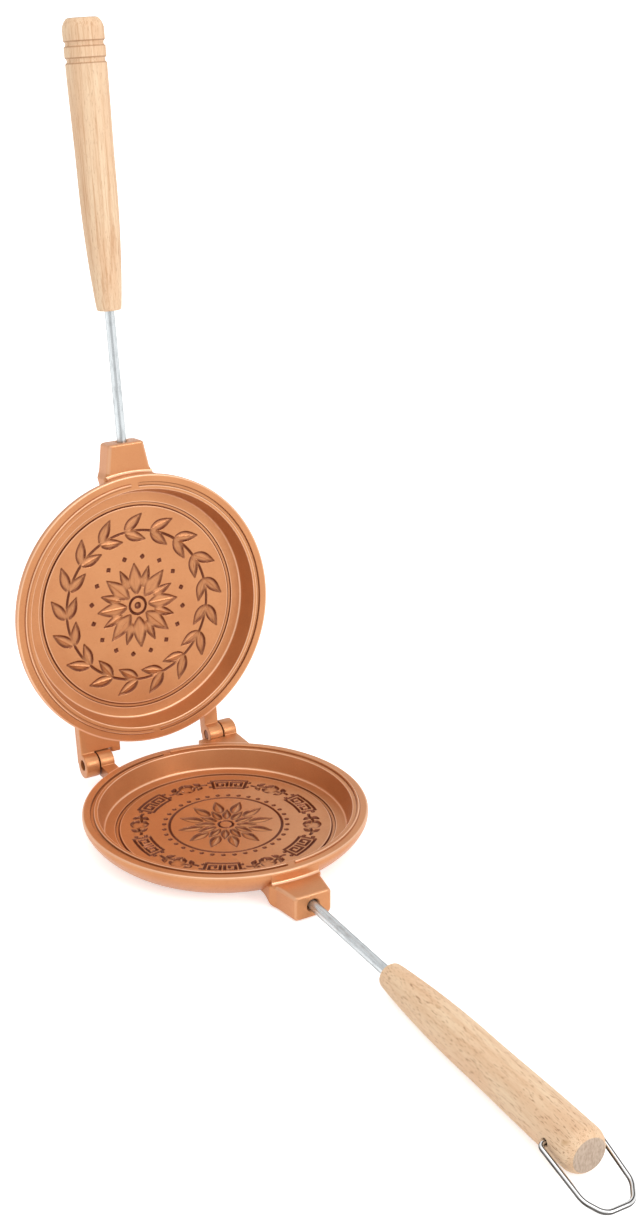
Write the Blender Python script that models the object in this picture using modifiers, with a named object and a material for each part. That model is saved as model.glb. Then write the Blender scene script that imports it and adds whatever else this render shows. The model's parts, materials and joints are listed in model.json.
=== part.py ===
"""Round stovetop sandwich maker, modelled open and resting on a table.

Two equal cast pans face each other on a two-knuckle hinge. Each pan carries a steel rod with a
turned wooden grip. A wire bail on the lower grip swings over the upper grip to hold the pans shut.
Units are metres, +Z is up, the handles run towards -Y and the hinge lies at the back, towards +Y.
"""
import math

import bmesh
import bpy
from mathutils import Matrix, Vector

# Pan casting
PAN_RADIUS = 0.0720
PAN_HEIGHT = 0.0150
RIM_BAND = 0.0026
RIM_ROUNDING = 0.0006
BASE_INSET = 0.0130
BELLY_EXPONENT = 1.40
CUP_DEPTH = 0.0106
CUP_INSET = 0.0080
CUP_CHAMFER = 0.0004
CUP_CHAMFER_DEPTH = 0.0004
CUP_DRAFT = 0.0020
CUP_FILLET = 0.0012
CHANNEL_INSET = 0.0163
CHANNEL_WIDTH = 0.0019
CHANNEL_DEPTH = 0.0007
CHANNEL_FLANK = 0.0002
PARTING_GAP = 0.0003

# Interlocking ridge and groove on the rim
RIDGE_INSET = 0.0050
RIDGE_WIDTH = 0.0011
RIDGE_HEIGHT = 0.0010
RIDGE_ROUNDING = 0.0003
RIDGE_END = 0.0020
RIDGE_ROOT = 0.0005
GROOVE_SIDE_CLEARANCE = 0.00035
GROOVE_END_CLEARANCE = 0.0004
GROOVE_FLOOR_CLEARANCE = 0.0004

# Hinge
HINGE_REACH = 0.0046
KNUCKLE_RADIUS = 0.0056
KNUCKLE_TAIL = 0.0015
OUTER_KNUCKLE_WIDTH = 0.0076
INNER_KNUCKLE_WIDTH = 0.0078
INNER_KNUCKLE_START = 0.0284
KNUCKLE_GAP = 0.0006
NOTCH_SIDE_CLEARANCE = 0.0013
NOTCH_WALL_CLEARANCE = 0.00045
BRACKET_THICKNESS = 0.0064
WEB_WIDTH = 0.0051
WEB_SETBACK = 0.0034
HEEL_REACH = 0.0064
HEEL_CHAMFER = 0.0004
STOP_GAP = 0.00015
OPEN_ANGLE = 97.3
PIN_RADIUS = 0.0025
PIN_SEAT_CLEARANCE = 0.0003
PIN_RUNNING_CLEARANCE = 0.00008
PIN_RECESS = 0.0018
PIN_END_GAP = 0.0003

# Handle lug on the front of each pan
LUG_REACH = 0.0162
LUG_END_HALF_WIDTH = 0.0098
LUG_TAPER = 0.240
LUG_TOP_DROP = 0.0057
LUG_KEEL_DROP = 0.0030
LUG_KEEL_SLOPE = 0.020
LUG_SWEEP_LENGTH = 0.0095
LUG_SWEEP_OVERHANG = 0.0015
LUG_ROOT_RISE = 0.0007
LUG_EDGE = 0.0012
LUG_FILLET = 0.0014
LUG_FILLET_SIDE_INSET = 0.0004
LUG_WALL_PROUD = 0.0002

# Handle rod
ROD_RADIUS = 0.0025
ROD_AXIS_DROP = 0.0119
ROD_DROOP = 0.2
ROD_SEAT_DEPTH = 0.0150
ROD_BARE_LENGTH = 0.0678
ROD_IN_GRIP = 0.0943
ROD_SEAT_CLEARANCE = 0.0003
ROD_END_GAP = 0.0003
SOCKET_CHAMFER = 0.0010
SOCKET_LIP = 0.0001

# Grip
GRIP_LENGTH = 0.1425
GRIP_NECK_RADIUS = 0.0063
GRIP_WAIST_RADIUS = 0.0097
GRIP_HEAD_RADIUS = 0.01035
GRIP_FLARE_LENGTH = 0.0660
GRIP_SWELL_LENGTH = 0.0580
GRIP_NECK_ROUNDING = 0.0008
GRIP_END_LENGTH = 0.0055
GRIP_END_ROUNDING = 0.0033
GRIP_END_EXPONENT = 1.6
LATCH_GROOVE_FROM_END = 0.0123
LATCH_GROOVE_SPACING = 0.0079
LATCH_GROOVE_WIDTH = 0.0029
LATCH_GROOVE_DEPTH = 0.0009

# Wire bail
BAIL_WIRE_RADIUS = 0.0012
BAIL_PIVOT_FROM_END = 0.0152
BAIL_HOLE_CLEARANCE = 0.00045
BAIL_TIP_DEPTH = 0.00485
BAIL_PIVOT_SIDE_GAP = 0.00125
BAIL_BEND_RADIUS = 0.0024
BAIL_LATCH_GAP = 0.0001
BAIL_REST_GAP = 0.0001
BAIL_SHOULDER_INSET = 0.00105
BAIL_SHOULDER_BACK = 0.0078
BAIL_SHOULDER_RADIUS = 0.0100
BAIL_END_INSET = 0.0060
BAIL_END_RADIUS = 0.0060

# Facet counts
PAN_STEPS = 72
GRIP_STEPS = 32
ROD_STEPS = 24
PIN_STEPS = 32
HOLE_STEPS = 20
BELLY_STEPS = 6
FILLET_STEPS = 4
KNUCKLE_STEPS = 10
GRIP_FLARE_STEPS = 7
GRIP_SWELL_STEPS = 5
GRIP_END_STEPS = 5
GROOVE_STEPS = 4
BAIL_BEND_STEPS = 4
BAIL_CORNER_STEPS = 4
TILT_STATIONS = 60

# Sizes that follow from the ones above
BASE_RADIUS = PAN_RADIUS - BASE_INSET
CUP_RADIUS = PAN_RADIUS - CUP_INSET
CHANNEL_RADIUS = PAN_RADIUS - CHANNEL_INSET
HINGE_Y = PAN_RADIUS + HINGE_REACH
HINGE_Z = PARTING_GAP / 2.0
INNER_KNUCKLE_END = INNER_KNUCKLE_START + INNER_KNUCKLE_WIDTH
OUTER_KNUCKLE_START = INNER_KNUCKLE_END + KNUCKLE_GAP
OUTER_KNUCKLE_END = OUTER_KNUCKLE_START + OUTER_KNUCKLE_WIDTH
NOTCH_START = INNER_KNUCKLE_START - NOTCH_SIDE_CLEARANCE
NOTCH_WALL = KNUCKLE_RADIUS + NOTCH_WALL_CLEARANCE
WEB_START = NOTCH_START - WEB_WIDTH
LUG_END = PAN_RADIUS + LUG_REACH
GRIP_START = ROD_BARE_LENGTH
GRIP_END = GRIP_START + GRIP_LENGTH
BAIL_PIVOT = GRIP_END - BAIL_PIVOT_FROM_END
SOCKET_RADIUS = ROD_RADIUS + ROD_SEAT_CLEARANCE
OPEN = math.radians(OPEN_ANGLE)
DROOP = math.radians(ROD_DROOP)


def remove_everything():
    """Start from an empty scene."""
    for item in list(bpy.data.objects):
        bpy.data.objects.remove(item, do_unlink=True)


remove_everything()
scene = bpy.context.scene
parts = bpy.data.collections.new("stovetop_sandwich_maker")
cutters = bpy.data.collections.new("cutters")
scene.collection.children.link(parts)
scene.collection.children.link(cutters)


def linear(level):
    """Linear value of one display colour level from 0 to 255."""
    share = level / 255.0
    if share <= 0.04045:
        return share / 12.92
    return ((share + 0.055) / 1.055) ** 2.4


def material(name, colour, roughness, metallic):
    """Principled material with a display colour."""
    made = bpy.data.materials.new(name)
    made.use_nodes = True
    shader = made.node_tree.nodes["Principled BSDF"]
    shader.inputs["Base Color"].default_value = (*[linear(level) for level in colour], 1.0)
    shader.inputs["Roughness"].default_value = roughness
    shader.inputs["Metallic"].default_value = metallic
    made.diffuse_color = (*[linear(level) for level in colour], 1.0)
    return made


def empty(name, parent, location, rotation):
    """Frame that carries the pieces fixed to it."""
    frame = bpy.data.objects.new(name, None)
    frame.empty_display_size = 0.01
    parts.objects.link(frame)
    frame.parent = parent
    frame.location = location
    frame.rotation_euler = rotation
    return frame


def place(item, collection, parent, location, rotation):
    """Link an object and put it in its parent's frame."""
    collection.objects.link(item)
    item.parent = parent
    item.location = location
    item.rotation_euler = rotation
    if collection == cutters:
        item.hide_render = True
        item.display_type = "WIRE"
    return item


def turned(name, profile, steps, collection, parent, location, rotation):
    """Solid of revolution about local Z; the profile runs from the top down its outer side."""
    mesh = bpy.data.meshes.new(name)
    points = [(radius, 0.0, height) for radius, height in profile]
    mesh.from_pydata(points, [(i, i + 1) for i in range(len(points) - 1)], [])
    item = bpy.data.objects.new(name, mesh)
    screw = item.modifiers.new("turn", "SCREW")
    screw.axis = "Z"
    screw.angle = 2.0 * math.pi
    screw.steps = steps
    screw.render_steps = steps
    screw.use_merge_vertices = True
    screw.merge_threshold = 0.000001
    screw.use_smooth_shade = True
    return place(item, collection, parent, location, rotation)


def welded(mesh):
    """Join the caps of a mesh made from a curve and face all its sides outwards."""
    work = bmesh.new()
    work.from_mesh(mesh)
    bmesh.ops.remove_doubles(work, verts=work.verts, dist=0.000001)
    bmesh.ops.recalc_face_normals(work, faces=work.faces)
    work.to_mesh(mesh)
    work.free()


def plate(name, outline, low, high, collection, parent, location, rotation):
    """Flat outline in the local XY plane, thick from z = low to z = high."""
    curve = bpy.data.curves.new(name, "CURVE")
    curve.dimensions = "2D"
    curve.fill_mode = "BOTH"
    curve.extrude = (high - low) / 2.0
    spline = curve.splines.new("POLY")
    spline.points.add(len(outline) - 1)
    for point, (x, y) in zip(spline.points, outline):
        point.co = (x, y, 0.0, 1.0)
    spline.use_cyclic_u = True
    flat = bpy.data.objects.new(name, curve)
    scene.collection.objects.link(flat)
    graph = bpy.context.evaluated_depsgraph_get()
    mesh = bpy.data.meshes.new_from_object(flat.evaluated_get(graph))
    bpy.data.objects.remove(flat, do_unlink=True)
    bpy.data.curves.remove(curve)
    mesh.transform(Matrix.Translation((0.0, 0.0, (low + high) / 2.0)))
    welded(mesh)
    item = bpy.data.objects.new(name, mesh)
    return place(item, collection, parent, location, rotation)


def side_plate(name, outline, low, high, parent):
    """Outline given as (y, z), thick along X from low to high."""
    turn = (math.radians(90.0), 0.0, math.radians(90.0))
    return plate(name, outline, low, high, cutters, parent, (0.0, 0.0, 0.0), turn)


def cylinder(name, radius, low, high, steps, collection, parent, location, rotation):
    """Round bar along local Z from low to high."""
    mesh = bpy.data.meshes.new(name)
    work = bmesh.new()
    bmesh.ops.create_cone(work, cap_ends=True, segments=steps, radius1=radius, radius2=radius,
                          depth=high - low, matrix=Matrix.Translation((0.0, 0.0, (low + high) / 2.0)))
    work.to_mesh(mesh)
    work.free()
    mesh.shade_smooth()
    mesh.set_sharp_from_angle(angle=math.radians(40.0))
    item = bpy.data.objects.new(name, mesh)
    return place(item, collection, parent, location, rotation)


def boolean(item, tool, operation):
    """Join, cut or trim an object with another."""
    modifier = item.modifiers.new(tool.name, "BOOLEAN")
    modifier.operation = operation
    modifier.solver = "EXACT"
    modifier.object = tool


def bevel(item, width, segments):
    """Round the sharp edges of an object."""
    modifier = item.modifiers.new("edges", "BEVEL")
    modifier.width = width
    modifier.segments = segments
    modifier.limit_method = "ANGLE"
    modifier.angle_limit = math.radians(35.0)


def smooth(share):
    """Ease from 0 to 1 with level ends."""
    return share * share * (3.0 - 2.0 * share)


def arc(centre, radius, start, end, steps):
    """Points on a circle, with the angles in degrees."""
    points = []
    for i in range(steps + 1):
        angle = math.radians(start + (end - start) * i / steps)
        points.append((centre[0] + radius * math.cos(angle), centre[1] + radius * math.sin(angle)))
    return points


def grip_radius(distance):
    """Radius of the grip's flare and swell at a distance from its neck."""
    if distance < GRIP_FLARE_LENGTH:
        rest = 1.0 - distance / GRIP_FLARE_LENGTH
        return GRIP_WAIST_RADIUS - (GRIP_WAIST_RADIUS - GRIP_NECK_RADIUS) * rest * rest
    share = min((distance - GRIP_FLARE_LENGTH) / GRIP_SWELL_LENGTH, 1.0)
    return GRIP_WAIST_RADIUS + (GRIP_HEAD_RADIUS - GRIP_WAIST_RADIUS) * smooth(share)


def rest_angle():
    """Tilt at which the base's back edge and the lowest part of the handle touch one level."""
    lug_drop = LUG_KEEL_DROP + LUG_KEEL_SLOPE * LUG_REACH
    steepest = lug_drop / (LUG_END + BASE_RADIUS)
    for i in range(TILT_STATIONS + 1):
        distance = (GRIP_LENGTH - GRIP_END_LENGTH) * i / TILT_STATIONS
        along = GRIP_START + distance
        axis_drop = ROD_AXIS_DROP + along * math.sin(DROOP)
        drop = axis_drop + grip_radius(distance) * math.cos(DROOP) - PAN_HEIGHT
        steepest = max(steepest, drop / (LUG_END + along * math.cos(DROOP) + BASE_RADIUS))
    return math.atan(steepest)


TILT = rest_angle()
TABLE_Z = -BASE_RADIUS * math.sin(TILT)

# Latched pose: the wire lies in the upper grip's end groove, which gives the bail its length
LATCH_SEAT = GRIP_HEAD_RADIUS - LATCH_GROOVE_DEPTH + BAIL_WIRE_RADIUS + BAIL_LATCH_GAP
LATCH_ALONG = GRIP_END - LATCH_GROOVE_FROM_END
LATCH_OFFSET = (LATCH_ALONG - BAIL_PIVOT) * math.cos(DROOP) - LATCH_SEAT * math.sin(DROOP)
LATCH_HEIGHT = (PARTING_GAP + 2.0 * ROD_AXIS_DROP + (LATCH_ALONG + BAIL_PIVOT) * math.sin(DROOP)
                + LATCH_SEAT * math.cos(DROOP))
BAIL_LENGTH = math.hypot(LATCH_HEIGHT, LATCH_OFFSET)

# Height of the bail's pivot over the underside's centre, and the angle at which the bail lies down
PIVOT_RISE = PAN_HEIGHT - ROD_AXIS_DROP - BAIL_PIVOT * math.sin(DROOP)
PIVOT_ALONG = LUG_END + BAIL_PIVOT * math.cos(DROOP)
PIVOT_WORLD_Z = PIVOT_ALONG * math.sin(TILT) + PIVOT_RISE * math.cos(TILT)
BAIL_FALL = (PIVOT_WORLD_Z - TABLE_Z - BAIL_WIRE_RADIUS - BAIL_REST_GAP) / BAIL_LENGTH
BAIL_ANGLE = math.asin(BAIL_FALL) - DROOP + TILT

# Frames: the tilted rest pose, the two pan frames at their rim planes, and the two handles
rest_tilt = empty("rest_tilt", None, (0.0, 0.0, 0.0), (-TILT, 0.0, 0.0))
lower_half_frame = empty("lower_half_frame", rest_tilt, (0.0, 0.0, PAN_HEIGHT), (0.0, 0.0, 0.0))
lid_hinge = empty("lid_hinge", lower_half_frame, (0.0, HINGE_Y, HINGE_Z), (-OPEN, 0.0, 0.0))
upper_half_frame = empty("upper_half_frame", lid_hinge, (0.0, -HINGE_Y, HINGE_Z),
                         (0.0, math.pi, 0.0))
lower_handle_frame = empty("lower_handle_frame", lower_half_frame,
                           (0.0, -LUG_END, -ROD_AXIS_DROP), (DROOP, 0.0, 0.0))
upper_handle_frame = empty("upper_handle_frame", upper_half_frame,
                           (0.0, -LUG_END, -ROD_AXIS_DROP), (DROOP, 0.0, 0.0))
bail_pivot = empty("bail_pivot", lower_handle_frame, (0.0, -BAIL_PIVOT, 0.0),
                   (BAIL_ANGLE, 0.0, 0.0))

ORIGIN = (0.0, 0.0, 0.0)
LEVEL = (0.0, 0.0, 0.0)
ALONG_X = (0.0, math.radians(90.0), 0.0)
ALONG_HANDLE = (math.radians(90.0), 0.0, 0.0)

# Casting: turned body with a thin vertical band at the rim and a belly that runs to a flat base
body_profile = [(0.0, 0.0), (PAN_RADIUS - RIM_ROUNDING, 0.0), (PAN_RADIUS, -RIM_ROUNDING)]
for i in range(BELLY_STEPS + 1):
    turn = math.radians(90.0 * i / BELLY_STEPS)
    out = math.cos(turn) ** (2.0 / BELLY_EXPONENT) if i < BELLY_STEPS else 0.0
    down = math.sin(turn) ** (2.0 / BELLY_EXPONENT)
    body_profile.append((BASE_RADIUS + BASE_INSET * out,
                         -RIM_BAND - (PAN_HEIGHT - RIM_BAND) * down))
body_profile.append((0.0, -PAN_HEIGHT))
lower_pan = turned("lower_pan", body_profile, PAN_STEPS, parts, lower_half_frame, ORIGIN, LEVEL)

# Cup: chamfered mouth, drafted wall, filleted foot and a narrow sunk ring round the floor's disc
wall_top = CUP_RADIUS - CUP_CHAMFER
wall_foot = wall_top - CUP_DRAFT
cup_profile = [(0.0, CUP_CHAMFER_DEPTH), (CUP_RADIUS + CUP_CHAMFER, CUP_CHAMFER_DEPTH),
               (wall_top, -CUP_CHAMFER_DEPTH)]
for i in range(FILLET_STEPS + 1):
    turn = math.radians(90.0 * i / FILLET_STEPS)
    cup_profile.append((wall_foot - CUP_FILLET * (1.0 - math.cos(turn)),
                        -CUP_DEPTH + CUP_FILLET * (1.0 - math.sin(turn))))
cup_profile += [(CHANNEL_RADIUS, -CUP_DEPTH),
                (CHANNEL_RADIUS - CHANNEL_FLANK, -CUP_DEPTH - CHANNEL_DEPTH),
                (CHANNEL_RADIUS - CHANNEL_WIDTH + CHANNEL_FLANK, -CUP_DEPTH - CHANNEL_DEPTH),
                (CHANNEL_RADIUS - CHANNEL_WIDTH, -CUP_DEPTH),
                (0.0, -CUP_DEPTH)]
cup = turned("cup_cutter", cup_profile, PAN_STEPS, cutters, lower_half_frame, ORIGIN, LEVEL)

# Outer-knuckle bracket on the +X side: a slab level with the rim, with a notch and a web
bracket_root = PAN_RADIUS - CUP_INSET - BRACKET_THICKNESS
bracket_root_y = math.sqrt(bracket_root ** 2 - OUTER_KNUCKLE_END ** 2)
bracket_outline = [
    (WEB_START, bracket_root_y),
    (OUTER_KNUCKLE_END, bracket_root_y),
    (OUTER_KNUCKLE_END, HINGE_Y),
    (OUTER_KNUCKLE_START, HINGE_Y),
    (OUTER_KNUCKLE_START, HINGE_Y - NOTCH_WALL),
    (NOTCH_START, HINGE_Y - NOTCH_WALL),
    (NOTCH_START, HINGE_Y - WEB_SETBACK),
    (WEB_START, HINGE_Y - WEB_SETBACK),
]
bracket = plate("bracket_block", bracket_outline, -BRACKET_THICKNESS, 0.0, cutters,
                lower_half_frame, ORIGIN, LEVEL)

# Knuckles: a round boss about the hinge axis, drawn out to the back, over the slab's thickness
front_angle = 180.0 + math.degrees(math.asin(HINGE_Z / KNUCKLE_RADIUS))
axis = (HINGE_Y, HINGE_Z)
tail = (HINGE_Y + KNUCKLE_TAIL, HINGE_Z)
outer_outline = [(bracket_root_y, 0.0)]
outer_outline += arc(axis, KNUCKLE_RADIUS, front_angle, 90.0, KNUCKLE_STEPS)
outer_outline += arc(tail, KNUCKLE_RADIUS, 90.0, -90.0, KNUCKLE_STEPS * 2)
outer_outline += [(HINGE_Y, -BRACKET_THICKNESS), (bracket_root_y, -BRACKET_THICKNESS)]
outer_knuckle = side_plate("outer_knuckle_block", outer_outline, OUTER_KNUCKLE_START,
                           OUTER_KNUCKLE_END, lower_half_frame)

# The inner knuckle's raised heel meets the other pan's notch wall when the lid is fully open
wall_turn = math.pi - OPEN
heel_rise = (NOTCH_WALL - STOP_GAP - HEEL_REACH * math.cos(wall_turn)) / math.sin(wall_turn)
heel_y = HINGE_Y + HEEL_REACH
heel_z = HINGE_Z + heel_rise
inner_outline = [(bracket_root_y, 0.0)]
inner_outline += arc(axis, KNUCKLE_RADIUS, front_angle, 90.0, KNUCKLE_STEPS)
inner_outline += [(heel_y - HEEL_CHAMFER, heel_z), (heel_y, heel_z - HEEL_CHAMFER)]
inner_outline += arc(tail, KNUCKLE_RADIUS, 0.0, -90.0, KNUCKLE_STEPS)
inner_outline += [(HINGE_Y, -BRACKET_THICKNESS), (bracket_root_y, -BRACKET_THICKNESS)]
inner_knuckle = side_plate("inner_knuckle_block", inner_outline, -INNER_KNUCKLE_END,
                           -INNER_KNUCKLE_START, lower_half_frame)

# Lug: side outline with a level top and a keel that sweeps up into the base, tapered in plan
keel_z = -PAN_HEIGHT - LUG_KEEL_DROP
sweep_start = -PAN_RADIUS - LUG_SWEEP_OVERHANG
root_z = -PAN_HEIGHT + LUG_ROOT_RISE
lug_root_y = -bracket_root
lug_outline = [(lug_root_y, -LUG_TOP_DROP), (-LUG_END, -LUG_TOP_DROP),
               (-LUG_END, keel_z - LUG_KEEL_SLOPE * LUG_REACH)]
for i in range(BELLY_STEPS + 1):
    share = i / BELLY_STEPS
    lug_outline.append((sweep_start + LUG_SWEEP_LENGTH * share,
                        keel_z + (root_z - keel_z) * smooth(share)))
lug_outline.append((lug_root_y, root_z))
lug = side_plate("lug_block", lug_outline, -LUG_END_HALF_WIDTH, LUG_END_HALF_WIDTH,
                 lower_half_frame)
for vertex in lug.data.vertices:
    half_width = LUG_END_HALF_WIDTH + LUG_TAPER * (vertex.co.x + LUG_END)
    vertex.co.z = math.copysign(half_width, vertex.co.z)
bevel(lug, LUG_EDGE, 2)

# Upright wall over the lug with a concave fillet at its foot, trimmed to the lug's width
wall_radius = PAN_RADIUS + LUG_WALL_PROUD
wall_inside = PAN_RADIUS - 2.0 * LUG_FILLET
wall_crown = -2.0 * RIM_ROUNDING
fillet_centre = (wall_radius + LUG_FILLET, -LUG_TOP_DROP + LUG_FILLET)
fillet_profile = [(wall_inside, wall_crown), (wall_radius, wall_crown)]
fillet_profile += arc(fillet_centre, LUG_FILLET, 180.0, 270.0, FILLET_STEPS)
fillet_profile += [(wall_radius + LUG_FILLET, -LUG_TOP_DROP - LUG_EDGE),
                   (wall_inside, -LUG_TOP_DROP - LUG_EDGE),
                   (wall_inside, wall_crown)]
fillet = turned("lug_fillet", fillet_profile, PAN_STEPS, cutters, lower_half_frame, ORIGIN, LEVEL)
fillet_half = LUG_END_HALF_WIDTH + LUG_TAPER * LUG_REACH - LUG_FILLET_SIDE_INSET
trim_outline = [(-fillet_half, -LUG_END), (fillet_half, -LUG_END),
                (fillet_half, lug_root_y), (-fillet_half, lug_root_y)]
trim = plate("fillet_trim", trim_outline, -PAN_HEIGHT, PAN_HEIGHT, cutters, lower_half_frame,
             ORIGIN, LEVEL)
boolean(fillet, trim, "INTERSECT")


def rim_strip(inner, outer, end_gap, side):
    """Strip along one half of the rim with round ends, kept clear of the centre plane."""
    middle = (inner + outer) / 2.0
    cap = (outer - inner) / 2.0
    stop = math.degrees(math.asin((end_gap + cap) / middle))
    count = PAN_STEPS // 2
    points = arc(ORIGIN, outer, -90.0 + stop, 90.0 - stop, count)
    for turn in (90.0 - stop, -90.0 + stop):
        centre = arc(ORIGIN, middle, turn, turn, 1)[0]
        first = turn if turn > 0.0 else turn + 180.0
        ends = arc(centre, cap, first, first + 180.0, FILLET_STEPS)
        points += ends[1:-1]
        if turn > 0.0:
            points += arc(ORIGIN, inner, 90.0 - stop, -90.0 + stop, count)
    if side < 0.0:
        points = [(-x, y) for x, y in reversed(points)]
    return points


ridge_outer = PAN_RADIUS - RIDGE_INSET + RIDGE_WIDTH / 2.0
ridge_inner = PAN_RADIUS - RIDGE_INSET - RIDGE_WIDTH / 2.0
ridge = plate("ridge_block", rim_strip(ridge_inner, ridge_outer, RIDGE_END, 1.0), -RIDGE_ROOT,
              RIDGE_HEIGHT, cutters, lower_half_frame, ORIGIN, LEVEL)
bevel(ridge, RIDGE_ROUNDING, 2)
groove_outline = rim_strip(ridge_inner - GROOVE_SIDE_CLEARANCE, ridge_outer + GROOVE_SIDE_CLEARANCE,
                           RIDGE_END - GROOVE_END_CLEARANCE, -1.0)
groove = plate("groove_cutter", groove_outline,
               -(RIDGE_HEIGHT - PARTING_GAP) - GROOVE_FLOOR_CLEARANCE, RIDGE_ROOT, cutters,
               lower_half_frame, ORIGIN, LEVEL)

# Pin holes: a seat in the outer knuckle and a running bore in the inner knuckle
seat_hole = cylinder("pin_seat_cutter", PIN_RADIUS + PIN_SEAT_CLEARANCE,
                     OUTER_KNUCKLE_START - KNUCKLE_GAP / 2.0, OUTER_KNUCKLE_END + KNUCKLE_GAP,
                     PIN_STEPS, cutters, lower_half_frame, (0.0, HINGE_Y, HINGE_Z), ALONG_X)
running_hole = cylinder("pin_running_cutter", PIN_RADIUS + PIN_RUNNING_CLEARANCE,
                        -INNER_KNUCKLE_END - KNUCKLE_GAP / 2.0,
                        -INNER_KNUCKLE_START + KNUCKLE_GAP / 2.0,
                        PIN_STEPS, cutters, lower_half_frame, (0.0, HINGE_Y, HINGE_Z), ALONG_X)

# Rod socket in the lug, with a chamfered mouth
lip = SOCKET_RADIUS + SOCKET_LIP
socket_profile = [(0.0, SOCKET_CHAMFER), (lip + 2.0 * SOCKET_CHAMFER, SOCKET_CHAMFER),
                  (lip, -SOCKET_CHAMFER), (SOCKET_RADIUS, -SOCKET_CHAMFER - SOCKET_LIP),
                  (SOCKET_RADIUS, -ROD_SEAT_DEPTH - ROD_END_GAP),
                  (0.0, -ROD_SEAT_DEPTH - ROD_END_GAP)]
socket = turned("rod_socket_cutter", socket_profile, ROD_STEPS, cutters, lower_handle_frame,
                ORIGIN, ALONG_HANDLE)

for block in (bracket, outer_knuckle, inner_knuckle, lug, fillet):
    boolean(lower_pan, block, "UNION")
for cutter in (cup, groove, seat_hole, running_hole, socket):
    boolean(lower_pan, cutter, "DIFFERENCE")
boolean(lower_pan, ridge, "UNION")

# The upper pan is the same casting turned over about the handle's direction
bpy.context.view_layer.update()
graph = bpy.context.evaluated_depsgraph_get()
upper_mesh = bpy.data.meshes.new_from_object(lower_pan.evaluated_get(graph))
upper_mesh.name = "upper_pan"
upper_pan = place(bpy.data.objects.new("upper_pan", upper_mesh), parts, upper_half_frame,
                  ORIGIN, LEVEL)
lower_pan.data.materials.append(material("lower_pan_coat", (200, 128, 84), 0.38, 0.55))
upper_pan.data.materials.append(material("upper_pan_coat", (200, 128, 84), 0.38, 0.55))


def hinge_pin(name, half_frame):
    """Short pin seated in a half's outer knuckle and running in the other half's inner knuckle."""
    pin = cylinder(name, PIN_RADIUS, INNER_KNUCKLE_START + PIN_END_GAP,
                   OUTER_KNUCKLE_END - PIN_RECESS, PIN_STEPS, parts, half_frame,
                   (0.0, HINGE_Y, HINGE_Z), ALONG_X)
    pin.data.materials.append(material(name + "_steel", (150, 96, 66), 0.40, 0.7))
    return pin


def handle_rod(name, handle_frame):
    """Straight steel rod from the bottom of the lug's socket into the grip."""
    rod = cylinder(name, ROD_RADIUS, -ROD_SEAT_DEPTH, ROD_BARE_LENGTH + ROD_IN_GRIP, ROD_STEPS,
                   parts, handle_frame, ORIGIN, ALONG_HANDLE)
    rod.data.materials.append(material(name + "_steel", (172, 170, 166), 0.32, 0.9))
    return rod


def grip_profile(grooves):
    """Turned outline of a grip from its far end to its neck, and on into the rod's bore."""
    outside = []
    head = GRIP_LENGTH - GRIP_END_LENGTH
    flat = GRIP_HEAD_RADIUS - GRIP_END_ROUNDING
    for i in range(GRIP_END_STEPS + 1):
        turn = math.radians(90.0 * i / GRIP_END_STEPS)
        back = math.cos(turn) ** (2.0 / GRIP_END_EXPONENT) if i < GRIP_END_STEPS else 0.0
        out = math.sin(turn) ** (2.0 / GRIP_END_EXPONENT)
        outside.append((flat + GRIP_END_ROUNDING * out, head + GRIP_END_LENGTH * back))
    half = LATCH_GROOVE_WIDTH / 2.0
    hollow = (half ** 2 + LATCH_GROOVE_DEPTH ** 2) / (2.0 * LATCH_GROOVE_DEPTH)
    swing = math.degrees(math.asin(half / hollow))
    for groove in grooves:
        centre = GRIP_LENGTH - groove
        middle = (grip_radius(centre) - LATCH_GROOVE_DEPTH + hollow, centre)
        outside += arc(middle, hollow, 180.0 - swing, 180.0 + swing, GROOVE_STEPS)
    top = GRIP_FLARE_LENGTH + GRIP_SWELL_LENGTH
    if grooves:
        lowest_groove = GRIP_LENGTH - grooves[-1] - LATCH_GROOVE_WIDTH
        top = min(top, lowest_groove)
    for i in range(GRIP_SWELL_STEPS):
        distance = top - (top - GRIP_FLARE_LENGTH) * i / GRIP_SWELL_STEPS
        outside.append((grip_radius(distance), distance))
    for i in range(GRIP_FLARE_STEPS):
        distance = GRIP_FLARE_LENGTH * (1.0 - i / GRIP_FLARE_STEPS)
        outside.append((grip_radius(distance), distance))
    outside.append((GRIP_NECK_RADIUS, GRIP_NECK_ROUNDING))
    outside.append((GRIP_NECK_RADIUS - GRIP_NECK_ROUNDING, 0.0))
    bore = ROD_IN_GRIP + ROD_END_GAP
    return [(0.0, GRIP_LENGTH)] + outside + [(SOCKET_RADIUS, 0.0), (SOCKET_RADIUS, bore), (0.0, bore)]


def grip(name, handle_frame, grooves):
    """Turned wooden grip over the far part of a rod."""
    item = turned(name, grip_profile(grooves), GRIP_STEPS, parts, handle_frame,
                  (0.0, -GRIP_START, 0.0), ALONG_HANDLE)
    item.data.materials.append(material(name + "_beech", (228, 200, 164), 0.6, 0.0))
    return item


hinge_pin("hinge_pin_right", lower_half_frame)
hinge_pin("hinge_pin_left", upper_half_frame)
handle_rod("lower_handle_rod", lower_handle_frame)
handle_rod("upper_handle_rod", upper_handle_frame)
lower_grip = grip("lower_grip", lower_handle_frame, [])
grip("upper_grip", upper_handle_frame,
     [LATCH_GROOVE_FROM_END, LATCH_GROOVE_FROM_END + LATCH_GROOVE_SPACING])

# Cross hole through the lower grip for the bail's ends
bail_hole = cylinder("bail_hole_cutter", BAIL_WIRE_RADIUS + BAIL_HOLE_CLEARANCE,
                     -2.0 * GRIP_HEAD_RADIUS, 2.0 * GRIP_HEAD_RADIUS, HOLE_STEPS, cutters,
                     lower_handle_frame, (0.0, -BAIL_PIVOT, 0.0), ALONG_X)
boolean(lower_grip, bail_hole, "DIFFERENCE")


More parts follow.
